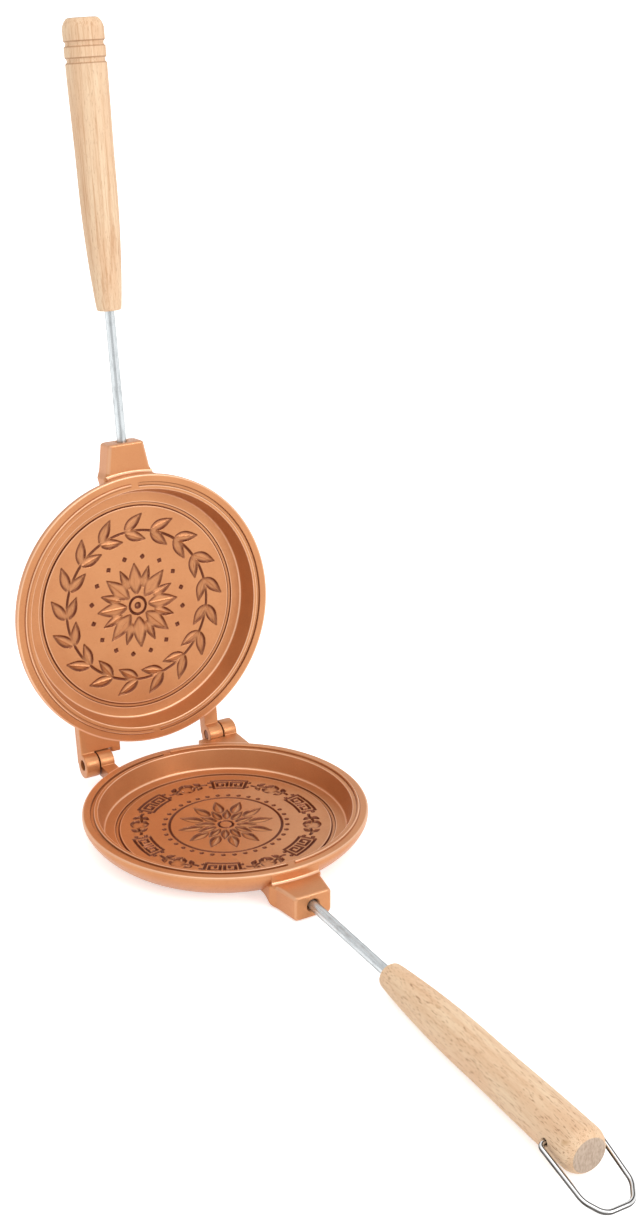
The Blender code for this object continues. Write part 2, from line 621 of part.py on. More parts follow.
def rounded_corner(before, corner, after, radius, steps):
    """Points of the arc that rounds a corner between two straight runs of a path."""
    corner = Vector(corner)
    first = (Vector(before) - corner).normalized()
    second = (Vector(after) - corner).normalized()
    half_angle = first.angle(second) / 2.0
    centre = corner + (first + second).normalized() * (radius / math.sin(half_angle))
    start = corner + first * (radius / math.tan(half_angle)) - centre
    swing = (math.pi - 2.0 * half_angle) * math.copysign(1.0, first.cross(second))
    points = []
    for i in range(steps + 1):
        turned_start = start.copy()
        turned_start.rotate(Matrix.Rotation(-swing * i / steps, 2))
        points.append(tuple(centre + turned_start))
    return points


# Bail: ends in the grip, tight bends, slightly converging legs, slanted shoulders and an end bar
pivot_half = GRIP_HEAD_RADIUS + BAIL_WIRE_RADIUS + BAIL_PIVOT_SIDE_GAP
tip = GRIP_HEAD_RADIUS - BAIL_TIP_DEPTH
bend_centre = (pivot_half - BAIL_BEND_RADIUS, -BAIL_BEND_RADIUS)
shoulder = (pivot_half - BAIL_SHOULDER_INSET, -BAIL_LENGTH + BAIL_SHOULDER_BACK)
end_corner = (pivot_half - BAIL_END_INSET, -BAIL_LENGTH)
half_path = [(tip, 0.0)]
half_path += arc(bend_centre, BAIL_BEND_RADIUS, 90.0, 0.0, BAIL_BEND_STEPS)
half_path += rounded_corner(half_path[-1], shoulder, end_corner, BAIL_SHOULDER_RADIUS,
                            BAIL_CORNER_STEPS)
half_path += rounded_corner(shoulder, end_corner, (0.0, -BAIL_LENGTH), BAIL_END_RADIUS,
                            BAIL_CORNER_STEPS)
half_path.append((0.0, -BAIL_LENGTH))
path = half_path + [(-x, y) for x, y in reversed(half_path[:-1])]
wire = bpy.data.curves.new("latch_bail", "CURVE")
wire.dimensions = "3D"
wire.bevel_depth = BAIL_WIRE_RADIUS
wire.bevel_resolution = 2
wire.use_fill_caps = True
strand = wire.splines.new("POLY")
strand.points.add(len(path) - 1)
for point, (x, y) in zip(strand.points, path):
    point.co = (x, y, 0.0, 1.0)
wire.materials.append(material("latch_bail_chrome", (205, 205, 208), 0.12, 1.0))
place(bpy.data.objects.new("latch_bail", wire), parts, bail_pivot, ORIGIN, LEVEL)
bpy.context.view_layer.update()
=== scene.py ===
import functools
import json
import math

import bmesh
import bpy
import numpy as np
from mathutils import Matrix, Vector


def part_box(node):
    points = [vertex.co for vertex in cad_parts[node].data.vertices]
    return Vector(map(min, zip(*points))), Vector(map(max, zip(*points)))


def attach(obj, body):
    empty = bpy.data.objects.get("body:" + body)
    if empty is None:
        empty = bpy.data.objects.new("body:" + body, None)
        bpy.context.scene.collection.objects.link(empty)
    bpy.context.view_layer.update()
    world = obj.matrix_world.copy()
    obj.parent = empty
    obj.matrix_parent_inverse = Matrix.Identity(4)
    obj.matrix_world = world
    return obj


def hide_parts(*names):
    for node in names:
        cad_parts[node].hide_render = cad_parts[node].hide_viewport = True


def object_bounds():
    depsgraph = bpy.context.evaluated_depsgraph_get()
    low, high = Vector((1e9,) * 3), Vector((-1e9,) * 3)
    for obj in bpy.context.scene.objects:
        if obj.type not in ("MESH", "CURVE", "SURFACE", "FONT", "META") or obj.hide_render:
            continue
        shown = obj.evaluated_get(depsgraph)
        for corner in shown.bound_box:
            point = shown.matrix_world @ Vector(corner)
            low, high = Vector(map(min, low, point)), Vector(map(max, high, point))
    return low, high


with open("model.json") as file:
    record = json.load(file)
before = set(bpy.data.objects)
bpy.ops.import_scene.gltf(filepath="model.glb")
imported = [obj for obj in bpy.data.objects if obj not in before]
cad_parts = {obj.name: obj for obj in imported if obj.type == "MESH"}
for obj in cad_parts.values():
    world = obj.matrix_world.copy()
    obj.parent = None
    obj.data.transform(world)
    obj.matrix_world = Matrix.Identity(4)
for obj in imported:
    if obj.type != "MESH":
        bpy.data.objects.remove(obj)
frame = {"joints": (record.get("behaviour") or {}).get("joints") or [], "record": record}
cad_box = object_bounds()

# Camera, read from the photograph by fitting the rims, hinge, rods and grips
IMAGE_WIDTH = 640.0
IMAGE_HEIGHT = 1222.0
FOCAL_PIXELS = 1914.11
RIM_CENTRE_PIXEL = (225.51, 805.63)
CAMERA_AZIMUTH = -30.4234
CAMERA_ELEVATION = 22.4593
CAMERA_ROLL = 0.1284
CAMERA_DEPTH = 0.96569
SENSOR_HEIGHT = 36.0

# Casting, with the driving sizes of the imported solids
PAN_RADIUS = 0.0720
PAN_HEIGHT = 0.0150
BASE_RADIUS = 0.0590
BASE_ROUNDING = 0.0006
RIM_BAND = 0.0026
RIM_ROUNDING = 0.0008
BELLY_EXPONENT = 1.40
CUP_RADIUS = 0.0640
CUP_LIP_ROUNDING = 0.0005
CUP_FOOT_RADIUS = 0.0616
CUP_DEPTH = 0.0106
CUP_FILLET = 0.0012
CHANNEL_RADIUS = 0.0557
CHANNEL_WIDTH = 0.0019
CHANNEL_DEPTH = 0.0007
CHANNEL_FLANK = 0.00025
PAN_STEPS = 180
RIM_STEPS = 5
BELLY_STEPS = 18
LIP_STEPS = 4
FILLET_STEPS = 6
CASTING_SHARP_ANGLE = 32.0

# Interlocking ridge and groove
RIDGE_RADIUS = 0.0670
RIDGE_WIDTH = 0.0011
RIDGE_HEIGHT = 0.0010
RIDGE_SINK = 0.0005
RIDGE_END = 0.0020
RIDGE_ROUNDING = 0.0003
GROOVE_CLEARANCE = 0.00035
GROOVE_DEPTH = 0.0011
GROOVE_LIP = 0.00022
STRIP_CAP_STEPS = 6
STRIP_STEPS = 96
STRIP_END_SHARE = 0.12

# Hinge
HINGE_REACH = 0.0046
KNUCKLE_RADIUS = 0.0056
KNUCKLE_TAIL = 0.0015
KNUCKLE_EDGE = 0.0005
INNER_KNUCKLE_START = 0.0284
INNER_KNUCKLE_WIDTH = 0.0078
OUTER_KNUCKLE_WIDTH = 0.0076
KNUCKLE_GAP = 0.0006
NOTCH_SIDE_CLEARANCE = 0.0013
NOTCH_WALL_CLEARANCE = 0.00045
BRACKET_THICKNESS = 0.0064
WEB_WIDTH = 0.0051
WEB_SETBACK = 0.0034
HEEL_REACH = 0.0064
HEEL_CHAMFER = 0.0004
STOP_GAP = 0.00015
PIN_RADIUS = 0.0025
PIN_SEAT_CLEARANCE = 0.0003
PIN_RUNNING_CLEARANCE = 0.00008
PIN_RECESS = 0.0018
PIN_END_GAP = 0.0003
PIN_CHAMFER = 0.0004
SEAT_CHAMFER = 0.0003
RUNNING_CHAMFER = 0.0002
KNUCKLE_STEPS = 18

# Handle lug and the upright wall over it
LUG_REACH = 0.0162
LUG_END_HALF_WIDTH = 0.0098
LUG_TAPER = 0.170
LUG_TOP_DROP = 0.0057
LUG_KEEL_DROP = 0.0030
LUG_KEEL_SLOPE = 0.020
LUG_SWEEP_LENGTH = 0.0095
LUG_SWEEP_OVERHANG = 0.0015
LUG_ROOT_RISE = 0.0007
LUG_CORNER = 0.0018
LUG_FACE_ROUNDING = 0.0012
LUG_FLARE = 0.0014
LUG_FLARE_LENGTH = 0.0045
LUG_FLARE_END = 0.0706
LUG_STEPS = 56
LUG_FACE_STEPS = 5
LUG_FILLET = 0.0014
EDGE_SUPPORT = 0.0003
LUG_WALL_PROUD = 0.0002
LUG_WALL_SIDE_INSET = 0.0004
LUG_WALL_STEPS = 24

# Rods, grips and bail
ROD_RADIUS = 0.0025
ROD_AXIS_DROP = 0.0119
ROD_DROOP = math.radians(0.2)
ROD_SEAT_DEPTH = 0.0150
ROD_BARE_LENGTH = 0.0678
ROD_IN_GRIP = 0.0943
ROD_END_GAP = 0.0003
ROD_CHAMFER = 0.0003
SOCKET_RADIUS = 0.0028
SOCKET_CHAMFER = 0.0008
BORE_CHAMFER = 0.0003
BORE_FLARE = 0.0002
BAR_STEPS = 48
GRIP_LENGTH = 0.1425
GRIP_NECK_RADIUS = 0.0063
GRIP_WAIST_RADIUS = 0.0097
GRIP_HEAD_RADIUS = 0.01035
GRIP_FLARE_LENGTH = 0.0660
GRIP_SWELL_LENGTH = 0.0580
GRIP_NECK_ROUNDING = 0.0008
GRIP_END_LENGTH = 0.0055
GRIP_END_ROUNDING = 0.0033
GRIP_END_EXPONENT = 1.6
GRIP_END_STEPS = 14
GRIP_STEPS = 96
GRIP_STATIONS = 60
GROOVE_FROM_END = 0.0123
GROOVE_SPACING = 0.0079
TURNED_GROOVE_WIDTH = 0.0029
TURNED_GROOVE_DEPTH = 0.0009
TURNED_GROOVE_STEPS = 10
BAIL_WIRE_RADIUS = 0.0012
BAIL_PIVOT_FROM_END = 0.0152
BAIL_HOLE_CLEARANCE = 0.00045
BAIL_HOLE_CHAMFER = 0.0005
BAIL_HOLE_STEPS = 32
BAIL_TIP_DEPTH = 0.00485
BAIL_SIDE_GAP = 0.00125
BAIL_BEND_RADIUS = 0.0024
BAIL_SHOULDER_INSET = 0.00105
BAIL_SHOULDER_BACK = 0.0078
BAIL_SHOULDER_RADIUS = 0.0100
BAIL_END_INSET = 0.0060
BAIL_END_RADIUS = 0.0060
BAIL_BEND_STEPS = 12
SHARP_ANGLE = 35.0

# Floor relief of the two cups
RELIEF_SPACING = 0.00028
RELIEF_DEPTH = 0.00085
RELIEF_FLANK = 0.00045
RELIEF_SHARP_ANGLE = 60.0
RELIEF_TUCK = 0.0001
WELL_DEPTH = 0.0123
WELL_INSET = 0.0009
LINE_WIDTH = 0.00080
MARK_WIDTH = 0.00095
LEAF_CROWN = 0.45
LEAF_FULLNESS = 0.8
MIDRIB = 0.7
MIDRIB_LENGTH = 0.85
# strength and reach of the painted shade in the relief's hollows
CAVITY_GAIN = 2.2
CAVITY_REACH = 4
GARLAND_RADIUS = 0.0405
GARLAND_PAIRS = 17
GARLAND_LIFT = 0.0006
BORDER_RADIUS = 0.0437
SPRAY_LEAF_HALF = 0.00125
SPRAY_BERRY = (0.0128, 0.0024)

# Painted highlight and painted shade lines on the coat
LINE_CORE = 0.3
LINE_RISE = 0.0001
LINE_FADE = 0.0003
# share of the painted highlight on the lug's rounded edges
PAINTED_EDGE_HIGHLIGHT = 0.6
TOUCH = 0.00001

# Colours as display levels
COAT = (199, 136, 89)
COAT_MOTTLE = (193, 129, 83)
COAT_PIT = (174, 109, 66)
COAT_GLINT = (214, 156, 112)
# painted highlight colour for edges and fillets
COAT_PAINTED_HIGHLIGHT = (244, 200, 166)
# painted shade colour for recesses and gaps
COAT_PAINTED_SHADE = (92, 32, 8)
BEECH = (236, 207, 172)
BEECH_PATCH = (229, 191, 154)
BEECH_BAND = (217, 175, 136)
BEECH_STREAK = (196, 146, 104)
BEECH_FIBRE = (200, 155, 115)
BEECH_FLECK = (158, 110, 76)
BEECH_KNOT = (182, 136, 84)
BEECH_GROOVE_SHADE = (150, 100, 62)
BEECH_END_GRAIN_AND_SHADE = (196, 174, 154)
BEECH_PORE = (172, 148, 128)
ROD_STEEL = (214, 219, 221)
PIN_COAT = (150, 96, 66)
CHROME_BRIGHT = (238, 238, 238)
# dark colour of the painted reflection bands
CHROME_PAINTED_DARK = (56, 52, 48)
CHROME_CLOUD = (168, 166, 164)
FLOOR_WHITE = (252, 252, 252)
FLOOR_TOOTH = (249, 249, 249)

# Shares of the darker colour in the painted reflections on drawn and plated metal, from its painted bright
# side to its flanks. The bright side is a direction in the piece's own axes, and a shorter one widens the
# flanks.
STEEL_PAINTED_REFLECTION = ((0.0, 0.4), (0.02, 0.4), (0.07, 0.0), (0.42, 0.0), (0.70, 0.8))
CHROME_PAINTED_REFLECTION = ((0.015, 1.0), (0.04, 0.0), (0.34, 0.0), (0.47, 1.0))
ROD_HIGHLIGHT_SIDE = {"lower": (-0.530, 0.640, 0.0), "upper": (0.394, 0.908, 0.0)}
PIN_HIGHLIGHT_SIDE = (0.0, 0.0, 0.5)
BAIL_HIGHLIGHT_SIDE = (0.0, -0.276, 0.961)

# Wood: strength of the long streaks and of the short flecks, and the painted shade lines at turned groove
# edges
BEECH_STREAKS = {"lower": 0.15, "upper": 0.75}
BEECH_FLECKS = {"lower": 0.75, "upper": 0.30}
EDGE_LINE = 0.0005
EDGE_CORE = 0.0001
EDGE_PLACE = 0.45

# Studio, with (azimuth, elevation, strength, softness) for the lamps
AMBIENT_LEVEL = 0.76
FLOOR_LIFT = 0.52
FLOOR_HALF = 8.0
KEY_LIGHT = (22.0, 28.0, 0.95, 25.0)
TOP_LIGHT = (-30.0, 75.0, 0.75, 60.0)

# Places that follow
lug_end = PAN_RADIUS + LUG_REACH
inner_knuckle_end = INNER_KNUCKLE_START + INNER_KNUCKLE_WIDTH
outer_knuckle_start = inner_knuckle_end + KNUCKLE_GAP
outer_knuckle_end = outer_knuckle_start + OUTER_KNUCKLE_WIDTH
disc_radius = CHANNEL_RADIUS - CHANNEL_WIDTH
well_radius = disc_radius - WELL_INSET
bracket_root = CUP_RADIUS - BRACKET_THICKNESS
bracket_root_y = math.sqrt(bracket_root ** 2 - outer_knuckle_end ** 2)
joints = {joint["name"]: joint for joint in frame["joints"]}
rest_axis = frame["record"]["mounts"][0]["axis"]
tilt = math.atan2(-rest_axis[1], -rest_axis[2])
lower_frame = Matrix.Rotation(-tilt, 4, "X") @ Matrix.Translation((0.0, 0.0, PAN_HEIGHT))
hinge_point = lower_frame.inverted() @ Vector(joints["lid_hinge"]["pos_m"])
hinge_y = PAN_RADIUS + HINGE_REACH
hinge_z = hinge_point.z
open_angle = math.radians(joints["lid_hinge"]["range_deg"][1])
upper_frame = (lower_frame @ Matrix.Translation((0.0, hinge_y, hinge_z))
               @ Matrix.Rotation(-open_angle, 4, "X")
               @ Matrix.Translation((0.0, -hinge_y, hinge_z)) @ Matrix.Rotation(math.pi, 4, "Y"))
notch_x = INNER_KNUCKLE_START - NOTCH_SIDE_CLEARANCE
notch_y = hinge_y - KNUCKLE_RADIUS - NOTCH_WALL_CLEARANCE
handle_shift = (Matrix.Translation((0.0, -lug_end, -ROD_AXIS_DROP))
                @ Matrix.Rotation(ROD_DROOP, 4, "X"))
bail_pivot = Vector(joints["bail_swing"]["pos_m"])
lower_handle = lower_frame @ handle_shift
upper_handle = upper_frame @ handle_shift
ALONG_HANDLE = Matrix.Rotation(math.radians(90.0), 4, "X")
ALONG_X = Matrix.Rotation(math.radians(90.0), 4, "Y")


# Mesh helpers


def make_object(name, data, matrix=Matrix()):
    """Link a mesh, curve, lamp or camera as an object at a matrix."""
    item = bpy.data.objects.new(name, data)
    bpy.context.scene.collection.objects.link(item)
    item.matrix_world = matrix
    return item


def shade(mesh, angle):
    """Smooth faces with sharp edges above an angle in degrees."""
    mesh.shade_smooth()
    mesh.set_sharp_from_angle(angle=math.radians(angle))


def mesh_from(name, points, faces):
    """Mesh with its faces turned outwards."""
    mesh = bpy.data.meshes.new(name)
    mesh.from_pydata(points, [], faces)
    work = bmesh.new()
    work.from_mesh(mesh)
    bmesh.ops.remove_doubles(work, verts=work.verts, dist=0.000001)
    bmesh.ops.recalc_face_normals(work, faces=work.faces)
    work.to_mesh(mesh)
    work.free()
    return mesh


def ring_faces(rows, count):
    """Faces between neighbouring rings of equal numbers of points."""
    faces = []
    for row in range(0, (rows - 1) * count, count):
        for i in range(count):
            j = (i + 1) % count
            faces.append((row + i, row + j, row + count + j, row + count + i))
    return faces


def lathe(name, profile, steps):
    """Solid of revolution about Z from (radius, height) points that start and end on the axis."""
    points = []
    for radius, height in profile:
        for i in range(steps):
            turn = 2.0 * math.pi * i / steps
            points.append((radius * math.cos(turn), radius * math.sin(turn), height))
    mesh = mesh_from(name, points, ring_faces(len(profile), steps))
    shade(mesh, SHARP_ANGLE)
    return mesh


def loft(name, rings):
    """Solid through rings with equal numbers of points, closed at both ends."""
    count = len(rings[0])
    points = [point for ring in rings for point in ring]
    ends = [tuple(range(count)), tuple((len(rings) - 1) * count + i for i in range(count))]
    mesh = mesh_from(name, points, ends + ring_faces(len(rings), count))
    shade(mesh, SHARP_ANGLE)
    return mesh


def prism(name, outline, offset, edge):
    """Outline of 3-D points drawn out by an offset, with its sharp edges rounded."""
    top = [tuple(Vector(point) + Vector(offset)) for point in outline]
    mesh = loft(name, [outline, top])
    work = bmesh.new()
    work.from_mesh(mesh)
    sharp = [line for line in work.edges if line.calc_face_angle(0.0) > math.radians(SHARP_ANGLE)]
    bmesh.ops.bevel(work, geom=sharp, offset=edge, segments=3, profile=0.5, affect="EDGES",
                    clamp_overlap=True)
    work.to_mesh(mesh)
    work.free()
    return mesh


def arc(centre, radius, start, end, steps):
    """Points on a circle, with the angles in degrees."""
    points = []
    for i in range(steps + 1):
        turn = math.radians(start + (end - start) * i / steps)
        points.append((centre[0] + radius * math.cos(turn), centre[1] + radius * math.sin(turn)))
    return points


def smooth(share):
    """Ease from 0 to 1 with level ends."""
    return share * share * (3.0 - 2.0 * share)


def superellipse(exponent, steps):
    """Shares (out, along) of a quarter superellipse, from out = 1 to along = 1."""
    shares = []
    for i in range(steps + 1):
        turn = math.radians(90.0 * i / steps)
        out = math.cos(turn) ** (2.0 / exponent) if i < steps else 0.0
        shares.append((out, math.sin(turn) ** (2.0 / exponent)))
    return shares


def baked(item, *tools):
    """Mesh of an object as its modifiers or curve shape it; the object and its tools are removed."""
    graph = bpy.context.evaluated_depsgraph_get()
    mesh = bpy.data.meshes.new_from_object(item.evaluated_get(graph))
    for used in tools + (item,):
        bpy.data.objects.remove(used, do_unlink=True)
    return mesh


def combine(mesh, joined, cut, added):
    """Mesh joined with some meshes, cut by others and joined with the last ones."""
    item = make_object("work", mesh)
    tools = []
    for operation, group in (("UNION", joined), ("DIFFERENCE", cut), ("UNION", added)):
        for tool_mesh in group:
            tool = make_object("tool", tool_mesh)
            tools.append(tool)
            modifier = item.modifiers.new("combine", "BOOLEAN")
            modifier.operation = operation
            modifier.solver = "MANIFOLD"
            modifier.object = tool
    return baked(item, *tools)


# Casting


def body_mesh():
    """Turned pan body with a rounded rim, an upright band and a rounded belly."""
    profile = [(0.0, 0.0)]
    profile += arc((PAN_RADIUS - RIM_ROUNDING, -RIM_ROUNDING), RIM_ROUNDING, 90.0, 0.0, RIM_STEPS)
    for out, down in superellipse(BELLY_EXPONENT, BELLY_STEPS):
        radius = BASE_RADIUS + (PAN_RADIUS - BASE_RADIUS) * out
        profile.append((radius, -RIM_BAND - (PAN_HEIGHT - RIM_BAND) * down))
    profile.append((BASE_RADIUS - BASE_ROUNDING, -PAN_HEIGHT))
    profile.append((0.0, -PAN_HEIGHT))
    return lathe("body", profile, PAN_STEPS)


def cup_mesh():
    """Cup cutter: rounded lip, drafted wall, filleted foot, floor and the channel's outer flank."""
    lip = CUP_RADIUS + CUP_LIP_ROUNDING
    deep = -CUP_DEPTH - CHANNEL_DEPTH
    profile = [(0.0, CUP_LIP_ROUNDING), (lip, CUP_LIP_ROUNDING)]
    profile += arc((lip, -CUP_LIP_ROUNDING), CUP_LIP_ROUNDING, 90.0, 180.0, LIP_STEPS)
    foot = (CUP_FOOT_RADIUS - CUP_FILLET, -CUP_DEPTH + CUP_FILLET)
    profile += arc(foot, CUP_FILLET, 0.0, -90.0, FILLET_STEPS)
    profile += [(CHANNEL_RADIUS, -CUP_DEPTH), (CHANNEL_RADIUS - CHANNEL_FLANK, deep),
                (well_radius, deep), (well_radius, -WELL_DEPTH), (0.0, -WELL_DEPTH)]
    return lathe("cup", profile, PAN_STEPS)


def bracket_mesh():
    """Slab on the +X side that carries the outer knuckle, with the notch and the web."""
    web_y = hinge_y - WEB_SETBACK
    corners = [(notch_x - WEB_WIDTH, bracket_root_y), (outer_knuckle_end, bracket_root_y),
               (outer_knuckle_end, hinge_y), (outer_knuckle_start, hinge_y),
               (outer_knuckle_start, notch_y), (notch_x, notch_y), (notch_x, web_y),
               (notch_x - WEB_WIDTH, web_y)]
    outline = [(x, y, -BRACKET_THICKNESS) for x, y in corners]
    return prism("bracket", outline, (0.0, 0.0, BRACKET_THICKNESS), KNUCKLE_EDGE)


def knuckle_mesh(low, high, heel):
    """Boss about the hinge axis between two places along X, drawn out to the back."""
    front = 180.0 + math.degrees(math.asin(hinge_z / KNUCKLE_RADIUS))
    axis = (hinge_y, hinge_z)
    tail = (hinge_y + KNUCKLE_TAIL, hinge_z)
    side = [(bracket_root_y, 0.0)] + arc(axis, KNUCKLE_RADIUS, front, 90.0, KNUCKLE_STEPS)
    if heel:
        wall_turn = math.pi - open_angle
        stop = KNUCKLE_RADIUS + NOTCH_WALL_CLEARANCE - STOP_GAP
        rise = (stop - HEEL_REACH * math.cos(wall_turn)) / math.sin(wall_turn)
        side += [(hinge_y + HEEL_REACH - HEEL_CHAMFER, hinge_z + rise),
                 (hinge_y + HEEL_REACH, hinge_z + rise - HEEL_CHAMFER)]
        side += arc(tail, KNUCKLE_RADIUS, 0.0, -90.0, KNUCKLE_STEPS)
    else:
        side += arc(tail, KNUCKLE_RADIUS, 90.0, -90.0, 2 * KNUCKLE_STEPS)
    side += [(hinge_y, -BRACKET_THICKNESS), (bracket_root_y, -BRACKET_THICKNESS)]
    outline = [(low, y, z) for y, z in side]
    return prism("knuckle", outline, (high - low, 0.0, 0.0), KNUCKLE_EDGE)


def lug_half_width(y):
    """Half width of the lug at a place along Y: tapered, with a hollow flare into the pan."""
    width = LUG_END_HALF_WIDTH + LUG_TAPER * (min(y, -PAN_RADIUS) + lug_end)
    share = max(0.0, min(1.0 + (y + LUG_FLARE_END) / LUG_FLARE_LENGTH, 1.0))
    return width + LUG_FLARE * share ** 2


def lug_bottom(y):
    """Height of the lug's keel at a place along Y."""
    keel = -PAN_HEIGHT - LUG_KEEL_DROP
    sweep_start = -PAN_RADIUS - LUG_SWEEP_OVERHANG
    if y < sweep_start:
        return keel + LUG_KEEL_SLOPE * (y - sweep_start)
    share = min((y - sweep_start) / LUG_SWEEP_LENGTH, 1.0)
    return keel + (-PAN_HEIGHT + LUG_ROOT_RISE - keel) * smooth(share)


def rounded_ring(y, half, low, high, corner):
    """Rounded rectangle across the lug at a place along Y, with points beside its corners."""
    ring = []
    for side, top, start in ((1, 1, 0.0), (-1, 1, 90.0), (-1, -1, 180.0), (1, -1, 270.0)):
        centre = (side * (half - corner), high - corner if top > 0 else low + corner)
        bend = arc(centre, corner, start, start + 90.0, FILLET_STEPS)
        upright = (side * half, centre[1] - top * EDGE_SUPPORT)
        level = (centre[0] - side * EDGE_SUPPORT, high if top > 0 else low)
        ends = (upright, level) if side * top > 0 else (level, upright)
        ring += [(a, y, b) for a, b in [ends[0]] + bend + [ends[1]]]
    return ring


def lug_mesh():
    """Handle lug: rounded section that tapers outwards, with a keel that sweeps into the base."""
    rings = []
    for i in range(LUG_FACE_STEPS + 1):
        turn = math.radians(90.0 * i / LUG_FACE_STEPS)
        inset = LUG_FACE_ROUNDING * (1.0 - math.sin(turn))
        y = -lug_end + LUG_FACE_ROUNDING * (1.0 - math.cos(turn))
        rings.append(rounded_ring(y, lug_half_width(y) - inset, lug_bottom(y) + inset,
                                  -LUG_TOP_DROP - inset, LUG_CORNER))
    first = -lug_end + LUG_FACE_ROUNDING
    last = -CUP_RADIUS + BRACKET_THICKNESS
    for i in range(1, LUG_STEPS + 1):
        y = first + (last - first) * i / LUG_STEPS
        rings.append(rounded_ring(y, lug_half_width(y), lug_bottom(y), -LUG_TOP_DROP, LUG_CORNER))
    return loft("lug", rings)


def lug_wall_mesh():
    """Upright wall over the lug, along the rim, with a concave fillet at its foot."""
    face = PAN_RADIUS + LUG_WALL_PROUD
    inside = PAN_RADIUS - 2.0 * LUG_FILLET
    crown = -1.2 * RIM_ROUNDING
    foot = -LUG_TOP_DROP - LUG_CORNER
    edge = RIM_ROUNDING * 0.3
    section = [(inside, crown), (face - edge, crown), (face, crown - edge)]
    hollow = (face + LUG_FILLET, -LUG_TOP_DROP + LUG_FILLET)
    section += arc(hollow, LUG_FILLET, 180.0, 270.0, FILLET_STEPS)
    section += [(face + LUG_FILLET, foot), (inside, foot)]
    half = lug_half_width(-PAN_RADIUS) - LUG_WALL_SIDE_INSET
    reach = math.asin(half / PAN_RADIUS)
    rings = []
    for i in range(LUG_WALL_STEPS + 1):
        turn = -math.pi / 2.0 + reach * (2.0 * i / LUG_WALL_STEPS - 1.0)
        rings.append([(radius * math.cos(turn), radius * math.sin(turn), height)
                      for radius, height in section])
    return loft("lug_wall", rings)


def rim_strip(section, centre, cap, end_gap, side):
    """Strip along one half of the rim whose (radius, height) section narrows to round ends."""
    stop = math.asin(end_gap / centre)
    half = math.pi / 2.0 - stop
    cap_turn = cap / centre
    turns = [-half + cap_turn * (1.0 - math.cos(math.pi / 2.0 * i / STRIP_CAP_STEPS))
             for i in range(STRIP_CAP_STEPS)]
    ends = [-turn for turn in reversed(turns)]
    turns += [-half + cap_turn + 2.0 * (half - cap_turn) * i / STRIP_STEPS for i in range(1, STRIP_STEPS)]
    turns += ends
    rings = []
    for turn in turns:
        inward = max(0.0, 1.0 - (half - abs(turn)) / cap_turn)
        share = max(STRIP_END_SHARE, math.sqrt(1.0 - inward ** 2))
        ring = []
        for radius, height in section:
            shrunk = centre + (radius - centre) * share
            ring.append((side * shrunk * math.cos(turn), shrunk * math.sin(turn), height))
        rings.append(ring)
    return loft("strip", rings)


def ridge_mesh():
    """Raised ridge on the +X half of the rim."""
    half = RIDGE_WIDTH / 2.0
    low, high = RIDGE_RADIUS - half, RIDGE_RADIUS + half
    section = [(low, -RIDGE_SINK), (low, RIDGE_HEIGHT - RIDGE_ROUNDING),
               (low + RIDGE_ROUNDING, RIDGE_HEIGHT), (high - RIDGE_ROUNDING, RIDGE_HEIGHT),
               (high, RIDGE_HEIGHT - RIDGE_ROUNDING), (high, -RIDGE_SINK)]
    return rim_strip(section, RIDGE_RADIUS, half, RIDGE_END, 1.0)


def groove_mesh():
    """Groove cutter on the -X half of the rim, flared at its mouth."""
    half = RIDGE_WIDTH / 2.0 + GROOVE_CLEARANCE
    low, high = RIDGE_RADIUS - half, RIDGE_RADIUS + half
    section = [(low, -GROOVE_DEPTH), (low, -GROOVE_LIP), (low - GROOVE_LIP, 0.0),
               (low - GROOVE_LIP, RIDGE_SINK), (high + GROOVE_LIP, RIDGE_SINK),
               (high + GROOVE_LIP, 0.0), (high, -GROOVE_LIP), (high, -GROOVE_DEPTH)]
    return rim_strip(section, RIDGE_RADIUS, half, RIDGE_END - GROOVE_CLEARANCE, -1.0)


def hole_mesh(radius, low, high, chamfer, matrix):
    """Round cutter along local Z between two places, flared at its high end."""
    profile = [(0.0, high + chamfer), (radius + 2.0 * chamfer, high + chamfer),
               (radius, high - chamfer), (radius, low), (0.0, low)]
    mesh = lathe("hole", profile, BAR_STEPS)
    mesh.transform(matrix)
    return mesh


def casting_mesh():
    """Whole casting: body, hinge bracket, knuckles, lug, cup, rim groove, holes and rim ridge."""
    axis = Matrix.Translation((0.0, hinge_y, hinge_z)) @ ALONG_X
    seat = hole_mesh(PIN_RADIUS + PIN_SEAT_CLEARANCE, outer_knuckle_start - KNUCKLE_GAP / 2.0,
                     outer_knuckle_end, SEAT_CHAMFER, axis)
    running = hole_mesh(PIN_RADIUS + PIN_RUNNING_CLEARANCE, -inner_knuckle_end - KNUCKLE_GAP / 2.0,
                        -INNER_KNUCKLE_START, RUNNING_CHAMFER, axis)
    socket = hole_mesh(SOCKET_RADIUS, -ROD_SEAT_DEPTH - ROD_END_GAP, 0.0, SOCKET_CHAMFER,
                       handle_shift @ ALONG_HANDLE)
    joined = [bracket_mesh(), knuckle_mesh(outer_knuckle_start, outer_knuckle_end, False),
              knuckle_mesh(-inner_knuckle_end, -INNER_KNUCKLE_START, True), lug_mesh(),
              lug_wall_mesh()]
    mesh = combine(body_mesh(), joined, [cup_mesh(), groove_mesh(), seat, running, socket],
                   [ridge_mesh()])
    shade(mesh, CASTING_SHARP_ANGLE)
    mark_painted_shade(mesh)
    mark_lug_highlights(mesh)
    return mesh


def store(mesh, name, values):
    """Keep a value for each of the mesh's points."""
    kept = mesh.attributes.new(name, "FLOAT", "POINT")
    kept.data.foreach_set("value", values.astype(np.float32))


def vertex_places(mesh):
    """Positions of the mesh's points as an array."""
    places = np.empty(len(mesh.vertices) * 3, np.float32)
    mesh.vertices.foreach_get("co", places)
    return places.reshape(-1, 3)


